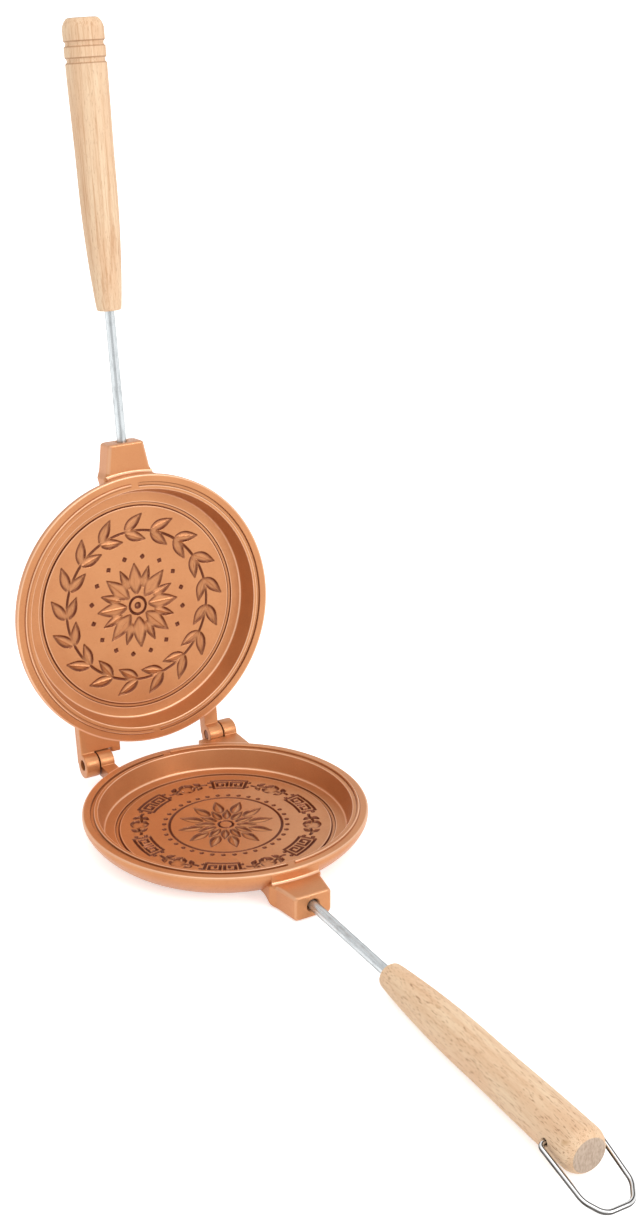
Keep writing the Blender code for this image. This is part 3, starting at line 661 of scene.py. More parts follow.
def mark_painted_shade(mesh):
    """Store painted shade between the knuckles and on the wall of the notch."""
    places = vertex_places(mesh)
    x, y = places[:, 0], places[:, 1]
    sides = (np.abs(x - outer_knuckle_start) < TOUCH) | (np.abs(x + inner_knuckle_end) < TOUCH)
    sides &= y > notch_y - TOUCH
    wall = (np.abs(y - notch_y) < TOUCH) & (x > notch_x - TOUCH) & (x < outer_knuckle_start + TOUCH)
    store(mesh, "shade_paint", np.where(sides | wall, 1.0, 0.0))


def mark_lug_highlights(mesh):
    """Store painted highlights on the rounded edges of the lug and in its wall's foot."""
    places = vertex_places(mesh)
    x, y, z = np.abs(places[:, 0]), places[:, 1], places[:, 2]
    half = np.array([lug_half_width(place) for place in y])
    out = np.clip((x - half + LUG_CORNER) / LUG_CORNER, 0.0, 1.0)
    up = np.clip((z + LUG_TOP_DROP + LUG_CORNER) / LUG_CORNER, 0.0, 1.0)
    face = np.clip(1.0 - (y + lug_end) / LUG_FACE_ROUNDING, 0.0, 1.0)
    highlight_paint = np.maximum(2.0 * out * up, face * np.sqrt(1.0 - face ** 2)) * PAINTED_EDGE_HIGHLIGHT
    highlight_paint = np.where(y < -PAN_RADIUS - LUG_FILLET, highlight_paint, 0.0)
    beyond = np.hypot(x, y) - PAN_RADIUS - LUG_WALL_PROUD
    foot = (beyond > LUG_FILLET * 0.1) & (beyond < LUG_FILLET * 0.9)
    foot &= (z > -LUG_TOP_DROP - TOUCH) & (z < -LUG_TOP_DROP + LUG_FILLET)
    store(mesh, "highlight_paint", np.where(foot, 1.0, highlight_paint))


# Floor relief: sunk lines on a disc inside the channel


def sector_turn(x, y, count, offset):
    """Turn from the middle of the nearest of equal sectors."""
    sector = 2.0 * math.pi / count
    return (np.arctan2(y, x) - offset + sector / 2.0) % sector - sector / 2.0


def folded(x, y, count, offset):
    """Tangential and radial places seen from the nearest of equal sectors, in metres."""
    turn = sector_turn(x, y, count, offset)
    radius = np.hypot(x, y)
    return radius * np.sin(turn), radius * np.cos(turn)


def folded_arc(x, y, count, offset, radius):
    """Places along and across a circle, seen from the nearest of equal sectors."""
    return radius * sector_turn(x, y, count, offset), np.hypot(x, y) - radius


def turned_by(across, along, degrees):
    """Plane coordinates after a turn."""
    turn = math.radians(degrees)
    return (across * math.cos(turn) + along * math.sin(turn),
            -across * math.sin(turn) + along * math.cos(turn))


def sunk(inside):
    """Share of the full depth at a distance inside a sunk shape's outline."""
    return smooth(np.clip(0.5 + inside / RELIEF_FLANK, 0.0, 1.0))


def deepest(depths):
    """Largest depth of several patterns at each place."""
    return np.maximum.reduce(depths)


def path_line(across, along, points, width):
    """Groove along a path of points."""
    nearest = np.full(across.shape, 1.0)
    for (ax, ay), (bx, by) in zip(points[:-1], points[1:]):
        dx, dy = bx - ax, by - ay
        share = np.clip(((across - ax) * dx + (along - ay) * dy) / (dx * dx + dy * dy), 0.0, 1.0)
        nearest = np.minimum(nearest, np.hypot(across - ax - share * dx, along - ay - share * dy))
    return sunk(width / 2.0 - nearest)


def ring_line(x, y, radius, share=1.0):
    """Groove round the disc's middle, with its share of the full depth."""
    return sunk(LINE_WIDTH / 2.0 - np.abs(np.hypot(x, y) - radius)) * share


def spot(across, along, place, radius, share=1.0):
    """Round dimple, with its share of the full depth."""
    return sunk(radius - np.hypot(across - place[0], along - place[1])) * share


def leaf(across, along, base, length, half_width, degrees, crown=LEAF_CROWN):
    """Sunk leaf from a base point, deepest along its outline, with a crown and a midrib."""
    a, b = turned_by(across - base[0], along - base[1], degrees)
    share = np.clip(b / length, 0.0, 1.0)
    width = half_width * np.sin(math.pi * share ** LEAF_FULLNESS)
    inside = np.minimum(width - np.abs(a), np.minimum(b, length - b))
    rise = crown * (1.0 - np.clip(np.abs(a) / half_width, 0.0, 1.0))
    rib = crown * MIDRIB * sunk(LINE_WIDTH * 0.3 - np.abs(a)) * (share < MIDRIB_LENGTH)
    return sunk(inside) * (1.0 - rise - rib)


def petals(x, y, count, offset, start, length, half_width):
    """Ring of equal sunk petals."""
    across, along = folded(x, y, count, offset)
    return leaf(across, along, (0.0, start), length, half_width, 0.0)


def diamonds(x, y, count, radius, half):
    """Ring of equal sunk diamonds."""
    across, along = folded(x, y, count, math.pi / count)
    return sunk(half - np.abs(across) - np.abs(along - radius)) * 0.8


def garland_relief(x, y):
    """Lid floor: a closed ring of paired leaves round an eight-fold rosette."""
    depths = [ring_line(x, y, GARLAND_RADIUS, share=0.7), ring_line(x, y, radius=0.0046),
              petals(x, y, 8, 0.0, start=0.0062, length=0.0170, half_width=0.0036),
              petals(x, y, 8, math.pi / 8.0, start=0.0100, length=0.0120, half_width=0.0021),
              diamonds(x, y, 16, radius=0.0265, half=0.0012),
              spot(x, y, (0.0, 0.0), radius=0.0016)]
    for step in (-1, 0, 1):
        across, along = folded(x, y, GARLAND_PAIRS, 2.0 * math.pi / GARLAND_PAIRS * step)
        across, along = turned_by(across, along, 360.0 / GARLAND_PAIRS * step)
        outer, inner = (0.0, GARLAND_RADIUS + GARLAND_LIFT), (0.0, GARLAND_RADIUS - GARLAND_LIFT)
        depths += [leaf(across, along, outer, length=0.0135, half_width=0.0027, degrees=58.0),
                   leaf(across, along, inner, length=0.0125, half_width=0.0025, degrees=118.0)]
    return deepest(depths)


def key_block(across, along):
    """Framed block with a pair of square hooks."""
    half, rise = 0.0086, 0.0042
    start, end, tongue, top, foot = 0.0011, 0.0064, 0.0034, 0.0021, -0.0019
    paths = [[(-half, -rise), (half, -rise), (half, rise), (-half, rise), (-half, -rise)]]
    for side in (1.0, -1.0):
        paths.append([(side * start, -top), (side * start, top), (side * end, top),
                      (side * end, foot), (side * tongue, foot), (side * tongue, 0.0)])
    return deepest([path_line(across, along, path, MARK_WIDTH) for path in paths])


def spray(across, along):
    """Winding stem with small leaves on both sides and a blossom in its middle."""
    wave, wave_length, reach, lift = 0.0007, 0.0019, 0.0110, 0.0006
    stem = np.abs(along - wave * np.sin(across / wave_length))
    depths = [sunk(np.minimum(MARK_WIDTH * 0.5 - stem, reach - np.abs(across)))]
    for side, rise in ((1.0, 1.0), (1.0, -1.0), (-1.0, 1.0), (-1.0, -1.0)):
        for place, length in ((0.0036, 0.0052), (0.0078, 0.0044)):
            base, degrees = (side * place, rise * lift), side * (90.0 - rise * 50.0)
            depths.append(leaf(across, along, base, length, SPRAY_LEAF_HALF, degrees, 0.0))
        berry = (side * SPRAY_BERRY[0], rise * SPRAY_BERRY[1])
        depths.append(spot(across, along, berry, radius=0.0008))
    for degrees in range(0, 360, 72):
        depths.append(leaf(across, along, (0.0, 0.0), 0.0040, SPRAY_LEAF_HALF, degrees, 0.0))
    return deepest(depths)


def key_relief(x, y):
    """Lower floor: six square-hook blocks and six sprays round a double rosette."""
    across, along = folded(x, y, 36, 0.0)
    return deepest([key_block(*folded_arc(x, y, 6, 0.0, BORDER_RADIUS)),
                    spray(*folded_arc(x, y, 6, math.pi / 6.0, BORDER_RADIUS)),
                    petals(x, y, 12, 0.0, start=0.0054, length=0.0100, half_width=0.0020),
                    petals(x, y, 12, math.pi / 12.0, start=0.0118, length=0.0125, half_width=0.0026),
                    ring_line(x, y, radius=0.0036), ring_line(x, y, radius=0.0285, share=0.8),
                    spot(across, along, (0.0, 0.0312), radius=0.0009, share=0.8)])


def cavity(depth):
    """Painted shade for the relief: how much deeper each grid point or its neighbour lies than the
    surroundings.
    """
    around = depth
    for axis in (0, 1):
        reach = range(-CAVITY_REACH, CAVITY_REACH + 1)
        around = sum(np.roll(around, step, axis) for step in reach) / len(reach)
    occlusion_shade = np.clip(CAVITY_GAIN * (depth - around), 0.0, 1.0)
    for axis in (0, 1):
        occlusion_shade = deepest([occlusion_shade, np.roll(occlusion_shade, 1, axis), np.roll(occlusion_shade, -1, axis)])
    return occlusion_shade


def relief_mesh(name, pattern):
    """Disc that fills the channel's inside, with a pattern sunk into its face."""
    count = int(2.0 * disc_radius / RELIEF_SPACING) + 2
    steps = (np.arange(count) - (count - 1) / 2.0) * RELIEF_SPACING
    x, y = np.meshgrid(steps, steps, indexing="ij")
    depth = pattern(x, y)
    occlusion_shade = cavity(depth)
    centre_x = (x[:-1, :-1] + x[1:, 1:]) / 2.0
    centre_y = (y[:-1, :-1] + y[1:, 1:]) / 2.0
    kept = np.argwhere(np.hypot(centre_x, centre_y) < disc_radius - RELIEF_SPACING * 0.9)
    first = kept[:, 0] * count + kept[:, 1]
    corners = np.stack([first, first + count, first + count + 1, first + 1], axis=1)
    used, faces = np.unique(corners, return_inverse=True)
    height = -CUP_DEPTH - RELIEF_DEPTH * depth.ravel()[used]
    places = np.stack([x.ravel()[used], y.ravel()[used], height], axis=1)
    mesh = bpy.data.meshes.new(name)
    mesh.from_pydata(places.tolist(), [], faces.reshape(-1, 4).tolist())
    # the relief's painted shade, stored on its points
    store(mesh, "shade_paint", occlusion_shade.ravel()[used])
    close_disc(mesh)
    shade(mesh, RELIEF_SHARP_ANGLE)
    return mesh


def draw_to_circle(vertices, radius, height):
    """Move points to a circle about Z, each along its own radius."""
    for vertex in vertices:
        scale = radius / math.hypot(vertex.co.x, vertex.co.y)
        vertex.co = (vertex.co.x * scale, vertex.co.y * scale, height)


def close_disc(mesh):
    """Snap the disc's edge to its circle and draw it down into the channel."""
    work = bmesh.new()
    work.from_mesh(mesh)
    border = [line for line in work.edges if line.is_boundary]
    edge = {vertex for line in border for vertex in line.verts}
    draw_to_circle(edge, disc_radius - CHANNEL_FLANK, -CUP_DEPTH)
    under = -CUP_DEPTH - CHANNEL_DEPTH - RELIEF_TUCK * 0.5
    inner = well_radius - RELIEF_TUCK
    for radius, height in ((disc_radius, -CUP_DEPTH - CHANNEL_FLANK * 0.7),
                           (disc_radius + CHANNEL_FLANK * 0.5, under), (inner, under),
                           (inner, -WELL_DEPTH + RELIEF_TUCK)):
        grown = bmesh.ops.extrude_edge_only(work, edges=border)["geom"]
        border = [part for part in grown if isinstance(part, bmesh.types.BMEdge)]
        edge = [part for part in grown if isinstance(part, bmesh.types.BMVert)]
        draw_to_circle(edge, radius, height)
    bmesh.ops.contextual_create(work, geom=border)
    bmesh.ops.recalc_face_normals(work, faces=work.faces)
    work.to_mesh(mesh)
    work.free()


# Handles


def bar_mesh(name, radius, low, high, chamfer):
    """Round bar with chamfered ends, along local Z."""
    half = [(0.0, high), (radius - chamfer, high), (radius, high - chamfer)]
    profile = half + [(radius, low + chamfer), (radius - chamfer, low), (0.0, low)]
    return lathe(name, profile, BAR_STEPS)


def grip_radius(distance):
    """Radius of the grip's flare and swell at a distance from its neck."""
    if distance < GRIP_FLARE_LENGTH:
        rest = 1.0 - distance / GRIP_FLARE_LENGTH
        return GRIP_WAIST_RADIUS - (GRIP_WAIST_RADIUS - GRIP_NECK_RADIUS) * rest * rest
    share = min((distance - GRIP_FLARE_LENGTH) / GRIP_SWELL_LENGTH, 1.0)
    return GRIP_WAIST_RADIUS + (GRIP_HEAD_RADIUS - GRIP_WAIST_RADIUS) * smooth(share)


def grip_mesh(grooves):
    """Turned grip along local Z from its neck, with round-bottomed grooves near its end."""
    head = GRIP_LENGTH - GRIP_END_LENGTH
    flat = GRIP_HEAD_RADIUS - GRIP_END_ROUNDING
    profile = [(0.0, GRIP_LENGTH), (flat * 0.5, GRIP_LENGTH)]
    for back, out in superellipse(GRIP_END_EXPONENT, GRIP_END_STEPS):
        profile.append((flat + GRIP_END_ROUNDING * out, head + GRIP_END_LENGTH * back))
    half = TURNED_GROOVE_WIDTH / 2.0
    hollow = (half ** 2 + TURNED_GROOVE_DEPTH ** 2) / (2.0 * TURNED_GROOVE_DEPTH)
    swing = math.degrees(math.asin(half / hollow))
    top = head
    for groove in grooves:
        centre = GRIP_LENGTH - groove
        middle = (grip_radius(centre) - TURNED_GROOVE_DEPTH + hollow, centre)
        profile += arc(middle, hollow, 180.0 - swing, 180.0 + swing, TURNED_GROOVE_STEPS)
        top = centre - half
    for i in range(1, GRIP_STATIONS + 1):
        distance = top + (GRIP_NECK_ROUNDING * 2.0 - top) * i / GRIP_STATIONS
        profile.append((grip_radius(distance), distance))
    neck = (GRIP_NECK_RADIUS - GRIP_NECK_ROUNDING, GRIP_NECK_ROUNDING)
    profile += arc(neck, GRIP_NECK_ROUNDING, 0.0, -90.0, RIM_STEPS)
    bore = ROD_IN_GRIP + ROD_END_GAP
    profile += [(SOCKET_RADIUS + BORE_FLARE, 0.0), (SOCKET_RADIUS, BORE_CHAMFER),
                (SOCKET_RADIUS, bore), (0.0, bore)]
    return lathe("grip", profile, GRIP_STEPS)


def drilled_grip_mesh():
    """Lower grip with the cross hole for the bail's ends."""
    radius = BAIL_WIRE_RADIUS + BAIL_HOLE_CLEARANCE
    reach = GRIP_HEAD_RADIUS
    place = Matrix.Translation((0.0, 0.0, GRIP_LENGTH - BAIL_PIVOT_FROM_END)) @ ALONG_X
    half = [(0.0, reach * 2.0), (radius * 2.2, reach * 2.0), (radius * 1.25, reach),
            (radius, reach - BAIL_HOLE_CHAMFER)]
    hole = lathe("hole", half + [(out, -along) for out, along in reversed(half)], BAIL_HOLE_STEPS)
    hole.transform(place)
    mesh = combine(grip_mesh([]), [], [hole], [])
    shade(mesh, SHARP_ANGLE)
    return mesh


def rounded_corner(before, corner, after, radius):
    """Points of the arc that rounds a corner between two straight runs of a path."""
    corner = Vector(corner)
    first = (Vector(before) - corner).normalized()
    second = (Vector(after) - corner).normalized()
    half_angle = first.angle(second) / 2.0
    centre = corner + (first + second).normalized() * (radius / math.sin(half_angle))
    start = corner + first * (radius / math.tan(half_angle)) - centre
    swing = (math.pi - 2.0 * half_angle) * math.copysign(1.0, second.cross(first))
    return [tuple(centre + Matrix.Rotation(swing * i / BAIL_BEND_STEPS, 2) @ start)
            for i in range(BAIL_BEND_STEPS + 1)]


def bail_path(length):
    """Half outline of the bail from its tip in the grip to the middle of its end bar."""
    pivot_half = GRIP_HEAD_RADIUS + BAIL_WIRE_RADIUS + BAIL_SIDE_GAP
    bend = (pivot_half - BAIL_BEND_RADIUS, -BAIL_BEND_RADIUS)
    shoulder = (pivot_half - BAIL_SHOULDER_INSET, -length + BAIL_SHOULDER_BACK)
    end_corner = (pivot_half - BAIL_END_INSET, -length)
    path = [(GRIP_HEAD_RADIUS - BAIL_TIP_DEPTH, 0.0)]
    path += arc(bend, BAIL_BEND_RADIUS, 90.0, 0.0, BAIL_BEND_STEPS)
    path += rounded_corner(path[-1], shoulder, end_corner, BAIL_SHOULDER_RADIUS)
    path += rounded_corner(shoulder, end_corner, (0.0, -length), BAIL_END_RADIUS)
    path.append((0.0, -length))
    return path


def bail_mesh():
    """Wire bail about its pivot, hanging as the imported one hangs."""
    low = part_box("latch_bail")[0]
    drop = bail_pivot.z - low.z - BAIL_WIRE_RADIUS
    reach = bail_pivot.y - low.y - BAIL_WIRE_RADIUS
    half = bail_path(math.hypot(drop, reach))
    path = half + [(-x, y) for x, y in reversed(half[:-1])]
    wire = bpy.data.curves.new("bail_wire", "CURVE")
    wire.dimensions = "3D"
    wire.bevel_depth = BAIL_WIRE_RADIUS
    wire.bevel_resolution = 6
    wire.use_fill_caps = True
    strand = wire.splines.new("POLY")
    strand.points.add(len(path) - 1)
    for point, (x, y) in zip(strand.points, path):
        point.co = (x, y, 0.0, 1.0)
    strand.use_smooth = True
    mesh = baked(make_object("bent_wire", wire))
    mesh.transform(Matrix.Rotation(math.atan2(drop, reach), 4, "X"))
    return mesh


# Materials


def linear(level):
    """Linear value of one display colour level from 0 to 255."""
    share = level / 255.0
    if share <= 0.04045:
        return share / 12.92
    return ((share + 0.055) / 1.055) ** 2.4


def colour(red, green, blue):
    """Linear colour with alpha from display levels."""
    return (linear(red), linear(green), linear(blue), 1.0)


def feed(tree, node, inputs):
    """Give each named input of a node another node's output or a plain value."""
    for place, source in inputs.items():
        if isinstance(source, bpy.types.NodeSocket):
            tree.links.new(source, node.inputs[place])
        else:
            node.inputs[place].default_value = source


def add_node(tree, kind, inputs):
    """New shader node with its inputs fed."""
    node = tree.nodes.new("ShaderNode" + kind)
    feed(tree, node, inputs)
    return node


class Surface:
    """Material with a Principled shader and short calls that add texture nodes to it."""

    def __init__(self, name, metallic, roughness):
        self.material = bpy.data.materials.new(name)
        self.material.use_nodes = True
        self.tree = self.material.node_tree
        self.shader = self.tree.nodes["Principled BSDF"]
        self.shader.inputs["Metallic"].default_value = metallic
        self.shader.inputs["Roughness"].default_value = roughness
        self.coords = self.add("TexCoord", {}).outputs
        self.place = self.add("SeparateXYZ", {0: self.coords["Object"]}).outputs

    def add(self, kind, inputs):
        """New node in this material."""
        return add_node(self.tree, kind, inputs)

    def stretched(self, scale):
        """Object coordinates multiplied by a scale for each axis."""
        return self.add("Mapping", {"Vector": self.coords["Object"], "Scale": scale}).outputs["Vector"]

    def noise(self, scale, detail, roughness, stretch=(1.0, 1.0, 1.0)):
        """Noise value, in coordinates multiplied by a factor for each axis."""
        inputs = {"Vector": self.stretched(stretch), "Scale": scale, "Detail": detail, "Roughness": roughness}
        return self.add("TexNoise", inputs).outputs["Fac"]

    def bands(self, scale, distortion, detail, stretch):
        """Wavy bands along X, in coordinates multiplied by a factor for each axis."""
        inputs = {"Vector": self.stretched(stretch), "Scale": scale, "Detail": detail}
        return self.add("TexWave", inputs | {"Distortion": distortion}).outputs["Fac"]

    def remap(self, value, low, high, to_low, to_high):
        """Value moved from one range to another and clamped."""
        inputs = {"Value": value, "From Min": low, "From Max": high, "To Min": to_low, "To Max": to_high}
        return self.add("MapRange", inputs).outputs["Result"]

    def mix(self, share, first, second):
        """Mix of two colours, each a colour or a socket."""
        node = self.add("Mix", {})
        node.data_type = "RGBA"
        feed(self.tree, node, {0: share, 6: first, 7: second})
        return node.outputs[2]

    def tinted(self, tone, value, start, full, share, tint):
        """Tone with a tint of display levels laid over it, up to a share where the value is full."""
        return self.mix(self.remap(value, start, full, 0.0, share), tone, colour(*tint))

    def arithmetic(self, operation, first, second):
        """Result of an operation on two values, each a number or a socket."""
        node = self.add("Math", {0: first, 1: second})
        node.operation = operation
        return node.outputs["Value"]

    def vector_value(self, operation, inputs):
        """Number that a vector operation gives."""
        node = self.add("VectorMath", inputs)
        node.operation = operation
        return node.outputs["Value"]

    def distance(self, value, centre):
        """How far a value lies from a number."""
        return self.arithmetic("ABSOLUTE", self.arithmetic("SUBTRACT", value, centre), 0.0)

    def circle(self, radius, half_width, above, strength=1.0, side=0):
        """Strength of a line round Z that shows above a height, all round or towards +X or -X."""
        flat = {0: self.stretched((1.0, 1.0, 0.0))}
        away = self.distance(self.vector_value("LENGTH", flat), radius)
        line = self.remap(away, half_width * LINE_CORE, half_width, strength, 0.0)
        shown = self.remap(self.place["Z"], above, above + LINE_RISE, 0.0, 1.0)
        line = self.arithmetic("MULTIPLY", line, shown)
        if side == 0:
            return line
        shown = self.remap(self.place["X"], side * RIDGE_END, side * (RIDGE_END + LINE_FADE), 0.0, 1.0)
        return self.arithmetic("MULTIPLY", line, shown)

    def strongest(self, values):
        """Largest of several values."""
        return functools.reduce(functools.partial(self.arithmetic, "MAXIMUM"), values)

    def painted_reflection_share(self, highlight_side, stops):
        """Share of the painted reflection read from (place, share) stops, from a bright side of the piece to
        its flanks.
        """
        along = self.vector_value("DOT_PRODUCT", {0: self.coords["Normal"], 1: highlight_side})
        beside = self.arithmetic("SUBTRACT", 1.0, self.distance(along, 0.0))
        ramp = self.tree.nodes.new("ShaderNodeValToRGB")
        elements = ramp.color_ramp.elements
        while len(elements) < len(stops):
            elements.new(0.5)
        for element, (position, share) in zip(elements, stops):
            element.position = position
            element.color = (share, share, share, 1.0)
        self.tree.links.new(beside, ramp.inputs["Fac"])
        return ramp.outputs["Color"]

    def attribute(self, name):
        """Value stored on the mesh's points."""
        node = self.add("Attribute", {})
        node.attribute_name = name
        return node.outputs["Fac"]

    def bump(self, height, strength, distance, **below):
        """Bumped normal, on top of another one when given as Normal."""
        inputs = {"Height": height, "Strength": strength, "Distance": distance}
        return self.add("Bump", inputs | below).outputs["Normal"]

    def use(self, **sources):
        """Feed sockets of the shader, named with _ for each space."""
        for socket, source in sources.items():
            self.tree.links.new(source, self.shader.inputs[socket.replace("_", " ")])


def painted_highlight_lines(surface):
    """Painted highlights along the edges of the rim, ridge, groove, cup and channel."""
    inner_edge = disc_radius - 0.0006
    return surface.strongest([
        surface.attribute("highlight_paint"),
        surface.circle(PAN_RADIUS - 0.0005, 0.0006, above=-0.0010),
        surface.circle(RIDGE_RADIUS + 0.0004, 0.0004, above=0.0002, side=1),
        surface.circle(RIDGE_RADIUS - 0.0012, 0.0004, above=-0.0002, side=-1),
        surface.circle(CUP_RADIUS + 0.0002, 0.0004, above=-0.0004),
        surface.circle(CUP_FOOT_RADIUS - 0.0005, 0.0005, above=-0.0110),
        surface.circle(CHANNEL_RADIUS + 0.0003, 0.0003, above=-0.0108, strength=0.8),
        surface.circle(inner_edge, 0.0003, above=-0.0108, strength=0.8)])


def painted_shade_lines(surface):
    """Painted shade in deep places: beside the ridge, in the groove and in the channel."""
    lines = [surface.attribute("shade_paint"),
             surface.circle(CHANNEL_RADIUS - 0.0002, 0.0003, above=-0.0115, strength=0.8),
             surface.circle(disc_radius + 0.0001, 0.0005, above=-0.0115)]
    for side, outer, above, strength in ((1, 0.0009, -0.0003, 0.6), (-1, 0.0008, -0.0013, 0.5)):
        lines += [surface.circle(RIDGE_RADIUS + outer, 0.0003, above, 0.5, side),
                  surface.circle(RIDGE_RADIUS - 0.0008, 0.0003, above, strength, side)]
    return surface.strongest(lines)


def coat_material():
    """Satin copper-coloured coat: fine cast grain, faint mottling, painted shade in the recesses and painted
    highlights on edges.
    """
    surface = Surface("copper_coat", 0.55, 0.36)
    broad = surface.noise(42.0, 3.0, 0.5)
    speckle = surface.noise(900.0, 3.0, 0.7)
    grain = surface.noise(3600.0, 2.0, 0.6)
    tone = surface.tinted(colour(*COAT), broad, 0.35, 0.65, 1.0, COAT_MOTTLE)
    tone = surface.tinted(tone, speckle, 0.55, 0.80, 0.35, COAT_PIT)
    tone = surface.tinted(tone, speckle, 0.40, 0.20, 0.30, COAT_GLINT)
    # painted highlights along edges and fillets
    tone = surface.tinted(tone, painted_highlight_lines(surface), 0.0, 1.0, 0.65, COAT_PAINTED_HIGHLIGHT)
    # painted shade in recesses, gaps and the relief's hollows
    tone = surface.tinted(tone, painted_shade_lines(surface), 0.0, 1.0, 0.92, COAT_PAINTED_SHADE)
    fine = surface.bump(grain, 0.30, 0.00006)
    surface.use(Base_Color=tone, Roughness=surface.remap(speckle, 0.3, 0.7, 0.30, 0.40),
                Normal=surface.bump(speckle, 0.18, 0.00012, Normal=fine))
    return surface.material


def beech_material(half, grooves):
    """Bare pale beech with long streaks, short flecks, a few knots, painted shade lines at groove edges, and
    end grain also painted darker as shade.
    """
    surface = Surface("beech_" + half, 0.0, 0.6)
    bands = surface.bands(60.0, 5.0, 2.0, (1.0, 0.35, 0.08))
    fibres = surface.noise(1700.0, 4.0, 0.65, (1.0, 1.0, 0.06))
    streaks = surface.noise(720.0, 3.0, 0.6, (1.0, 1.0, 0.018))
    flecks = surface.noise(2300.0, 2.0, 0.5, (1.0, 1.0, 0.14))
    patches = surface.noise(75.0, 3.0, 0.5, (1.0, 1.0, 0.35))
    knots = surface.noise(120.0, 1.0, 0.4, (1.0, 1.0, 0.7))
    tone = surface.tinted(colour(*BEECH), patches, 0.35, 0.65, 1.0, BEECH_PATCH)
    tone = surface.tinted(tone, bands, 0.2, 1.0, 0.35, BEECH_BAND)
    tone = surface.tinted(tone, streaks, 0.50, 0.68, BEECH_STREAKS[half], BEECH_STREAK)
    tone = surface.tinted(tone, fibres, 0.48, 0.75, 0.60, BEECH_FIBRE)
    tone = surface.tinted(tone, flecks, 0.60, 0.67, BEECH_FLECKS[half], BEECH_FLECK)
    tone = surface.tinted(tone, knots, 0.74, 0.80, 0.60, BEECH_KNOT)
    height = surface.place["Z"]
    # painted shade lines at the groove edges
    for groove in grooves:
        for side in (-1, 1):
            edge = GRIP_LENGTH - groove + side * TURNED_GROOVE_WIDTH * EDGE_PLACE
            away = surface.distance(height, edge)
            tone = surface.tinted(tone, away, EDGE_LINE, EDGE_CORE, 0.6, BEECH_GROOVE_SHADE)
    pores = surface.noise(1300.0, 3.0, 0.6, (1.0, 0.4, 1.0))
    # end grain with pores, its tone painted darker also as the shade on the end face
    end_grain_and_shade = surface.tinted(colour(*BEECH_END_GRAIN_AND_SHADE), pores, 0.4, 0.65, 1.0, BEECH_PORE)
    end = surface.remap(height, GRIP_LENGTH - 0.0004, GRIP_LENGTH - 0.0002, 0.0, 1.0)
    surface.use(Base_Color=surface.mix(end, tone, end_grain_and_shade),
                Roughness=surface.remap(fibres, 0.3, 0.7, 0.52, 0.68),
                Normal=surface.bump(fibres, 0.25, 0.00010))
    return surface.material


def steel_material(name, level, roughness, highlight_side):
    """Drawn steel with lengthwise lines and faint spots, from display levels, with painted reflections darker
    at its flanks.
    """
    surface = Surface(name, 0.9, roughness)
    lines = surface.noise(3200.0, 3.0, 0.6, (1.0, 1.0, 0.012))
    spots = surface.noise(420.0, 4.0, 0.65, (1.0, 1.0, 0.3))
    tone = surface.tinted(colour(*level), lines, 0.35, 0.65, 1.0, [0.88 * part for part in level])
    tone = surface.tinted(tone, spots, 0.50, 0.64, 0.60, [0.78 * part for part in level])
    painted_flank_shade = colour(*[0.50 * part for part in level])
    # painted reflection: a bright side and darker flanks painted into the colour
    surface.use(Base_Color=surface.mix(surface.painted_reflection_share(highlight_side, STEEL_PAINTED_REFLECTION), tone, painted_flank_shade),
                Roughness=surface.remap(spots, 0.3, 0.7, roughness - 0.06, roughness + 0.10),
                Normal=surface.bump(lines, 0.15, 0.00003))
    return surface.material


def chrome_material():
    """Bright plated wire, with dark bands of painted reflection along its length."""
    surface = Surface("bail_chrome", 1.0, 0.12)
    waves = surface.noise(260.0, 2.0, 0.5)
    # painted reflection bands round a fixed bright side
    bands = surface.painted_reflection_share(BAIL_HIGHLIGHT_SIDE, CHROME_PAINTED_REFLECTION)
    tone = surface.mix(bands, colour(*CHROME_BRIGHT), colour(*CHROME_PAINTED_DARK))
    surface.use(Base_Color=surface.tinted(tone, waves, 0.3, 0.7, 0.20, CHROME_CLOUD),
                Roughness=surface.remap(waves, 0.3, 0.7, 0.08, 0.20),
                Normal=surface.bump(waves, 0.10, 0.0002))
    return surface.material


def background_rays(tree):
    """1 for rays that show the surroundings directly, mirrored or through glass, otherwise 0."""
    path = add_node(tree, "LightPath", {}).outputs
    shown = path["Is Camera Ray"]
    for name in ("Is Glossy Ray", "Is Transmission Ray"):
        node = add_node(tree, "Math", {0: shown, 1: path[name]})
        node.operation = "MAXIMUM"
        shown = node.outputs["Value"]
    return shown


def floor_material():
    """Matt white studio floor with a barely visible tooth, lifted to white where it is seen."""
    surface = Surface("studio_floor", 0.0, 0.9)
    tooth = surface.noise(180.0, 2.0, 0.5)
    surface.shader.inputs["Specular IOR Level"].default_value = 0.0
    surface.shader.inputs["Emission Color"].default_value = (1.0, 1.0, 1.0, 1.0)
    lift = surface.remap(background_rays(surface.tree), 0.0, 1.0, 0.0, FLOOR_LIFT)
    surface.use(Base_Color=surface.mix(tooth, colour(*FLOOR_WHITE), colour(*FLOOR_TOOTH)),
                Emission_Strength=lift)
    return surface.material


# Stage: floor, light and camera


def build_floor(material):
    """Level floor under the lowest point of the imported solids."""
    half, level = FLOOR_HALF, cad_box[0][2]
    corners = [(-half, -half, level), (half, -half, level), (half, half, level), (-half, half, level)]
    item = make_object("studio_floor", mesh_from("studio_floor", corners, [(0, 1, 2, 3)]))
    item.data.materials.append(material)


def build_world():
    """White surroundings, dimmer as a light than as a background."""
    world = bpy.data.worlds.new("studio")
    bpy.context.scene.world = world
    world.use_nodes = True
    tree = world.node_tree
    inputs = {"Value": background_rays(tree), "To Min": AMBIENT_LEVEL, "To Max": 1.0}
    background = tree.nodes["Background"]
    background.inputs["Color"].default_value = (1.0, 1.0, 1.0, 1.0)
    feed(tree, background, {"Strength": add_node(tree, "MapRange", inputs).outputs["Result"]})


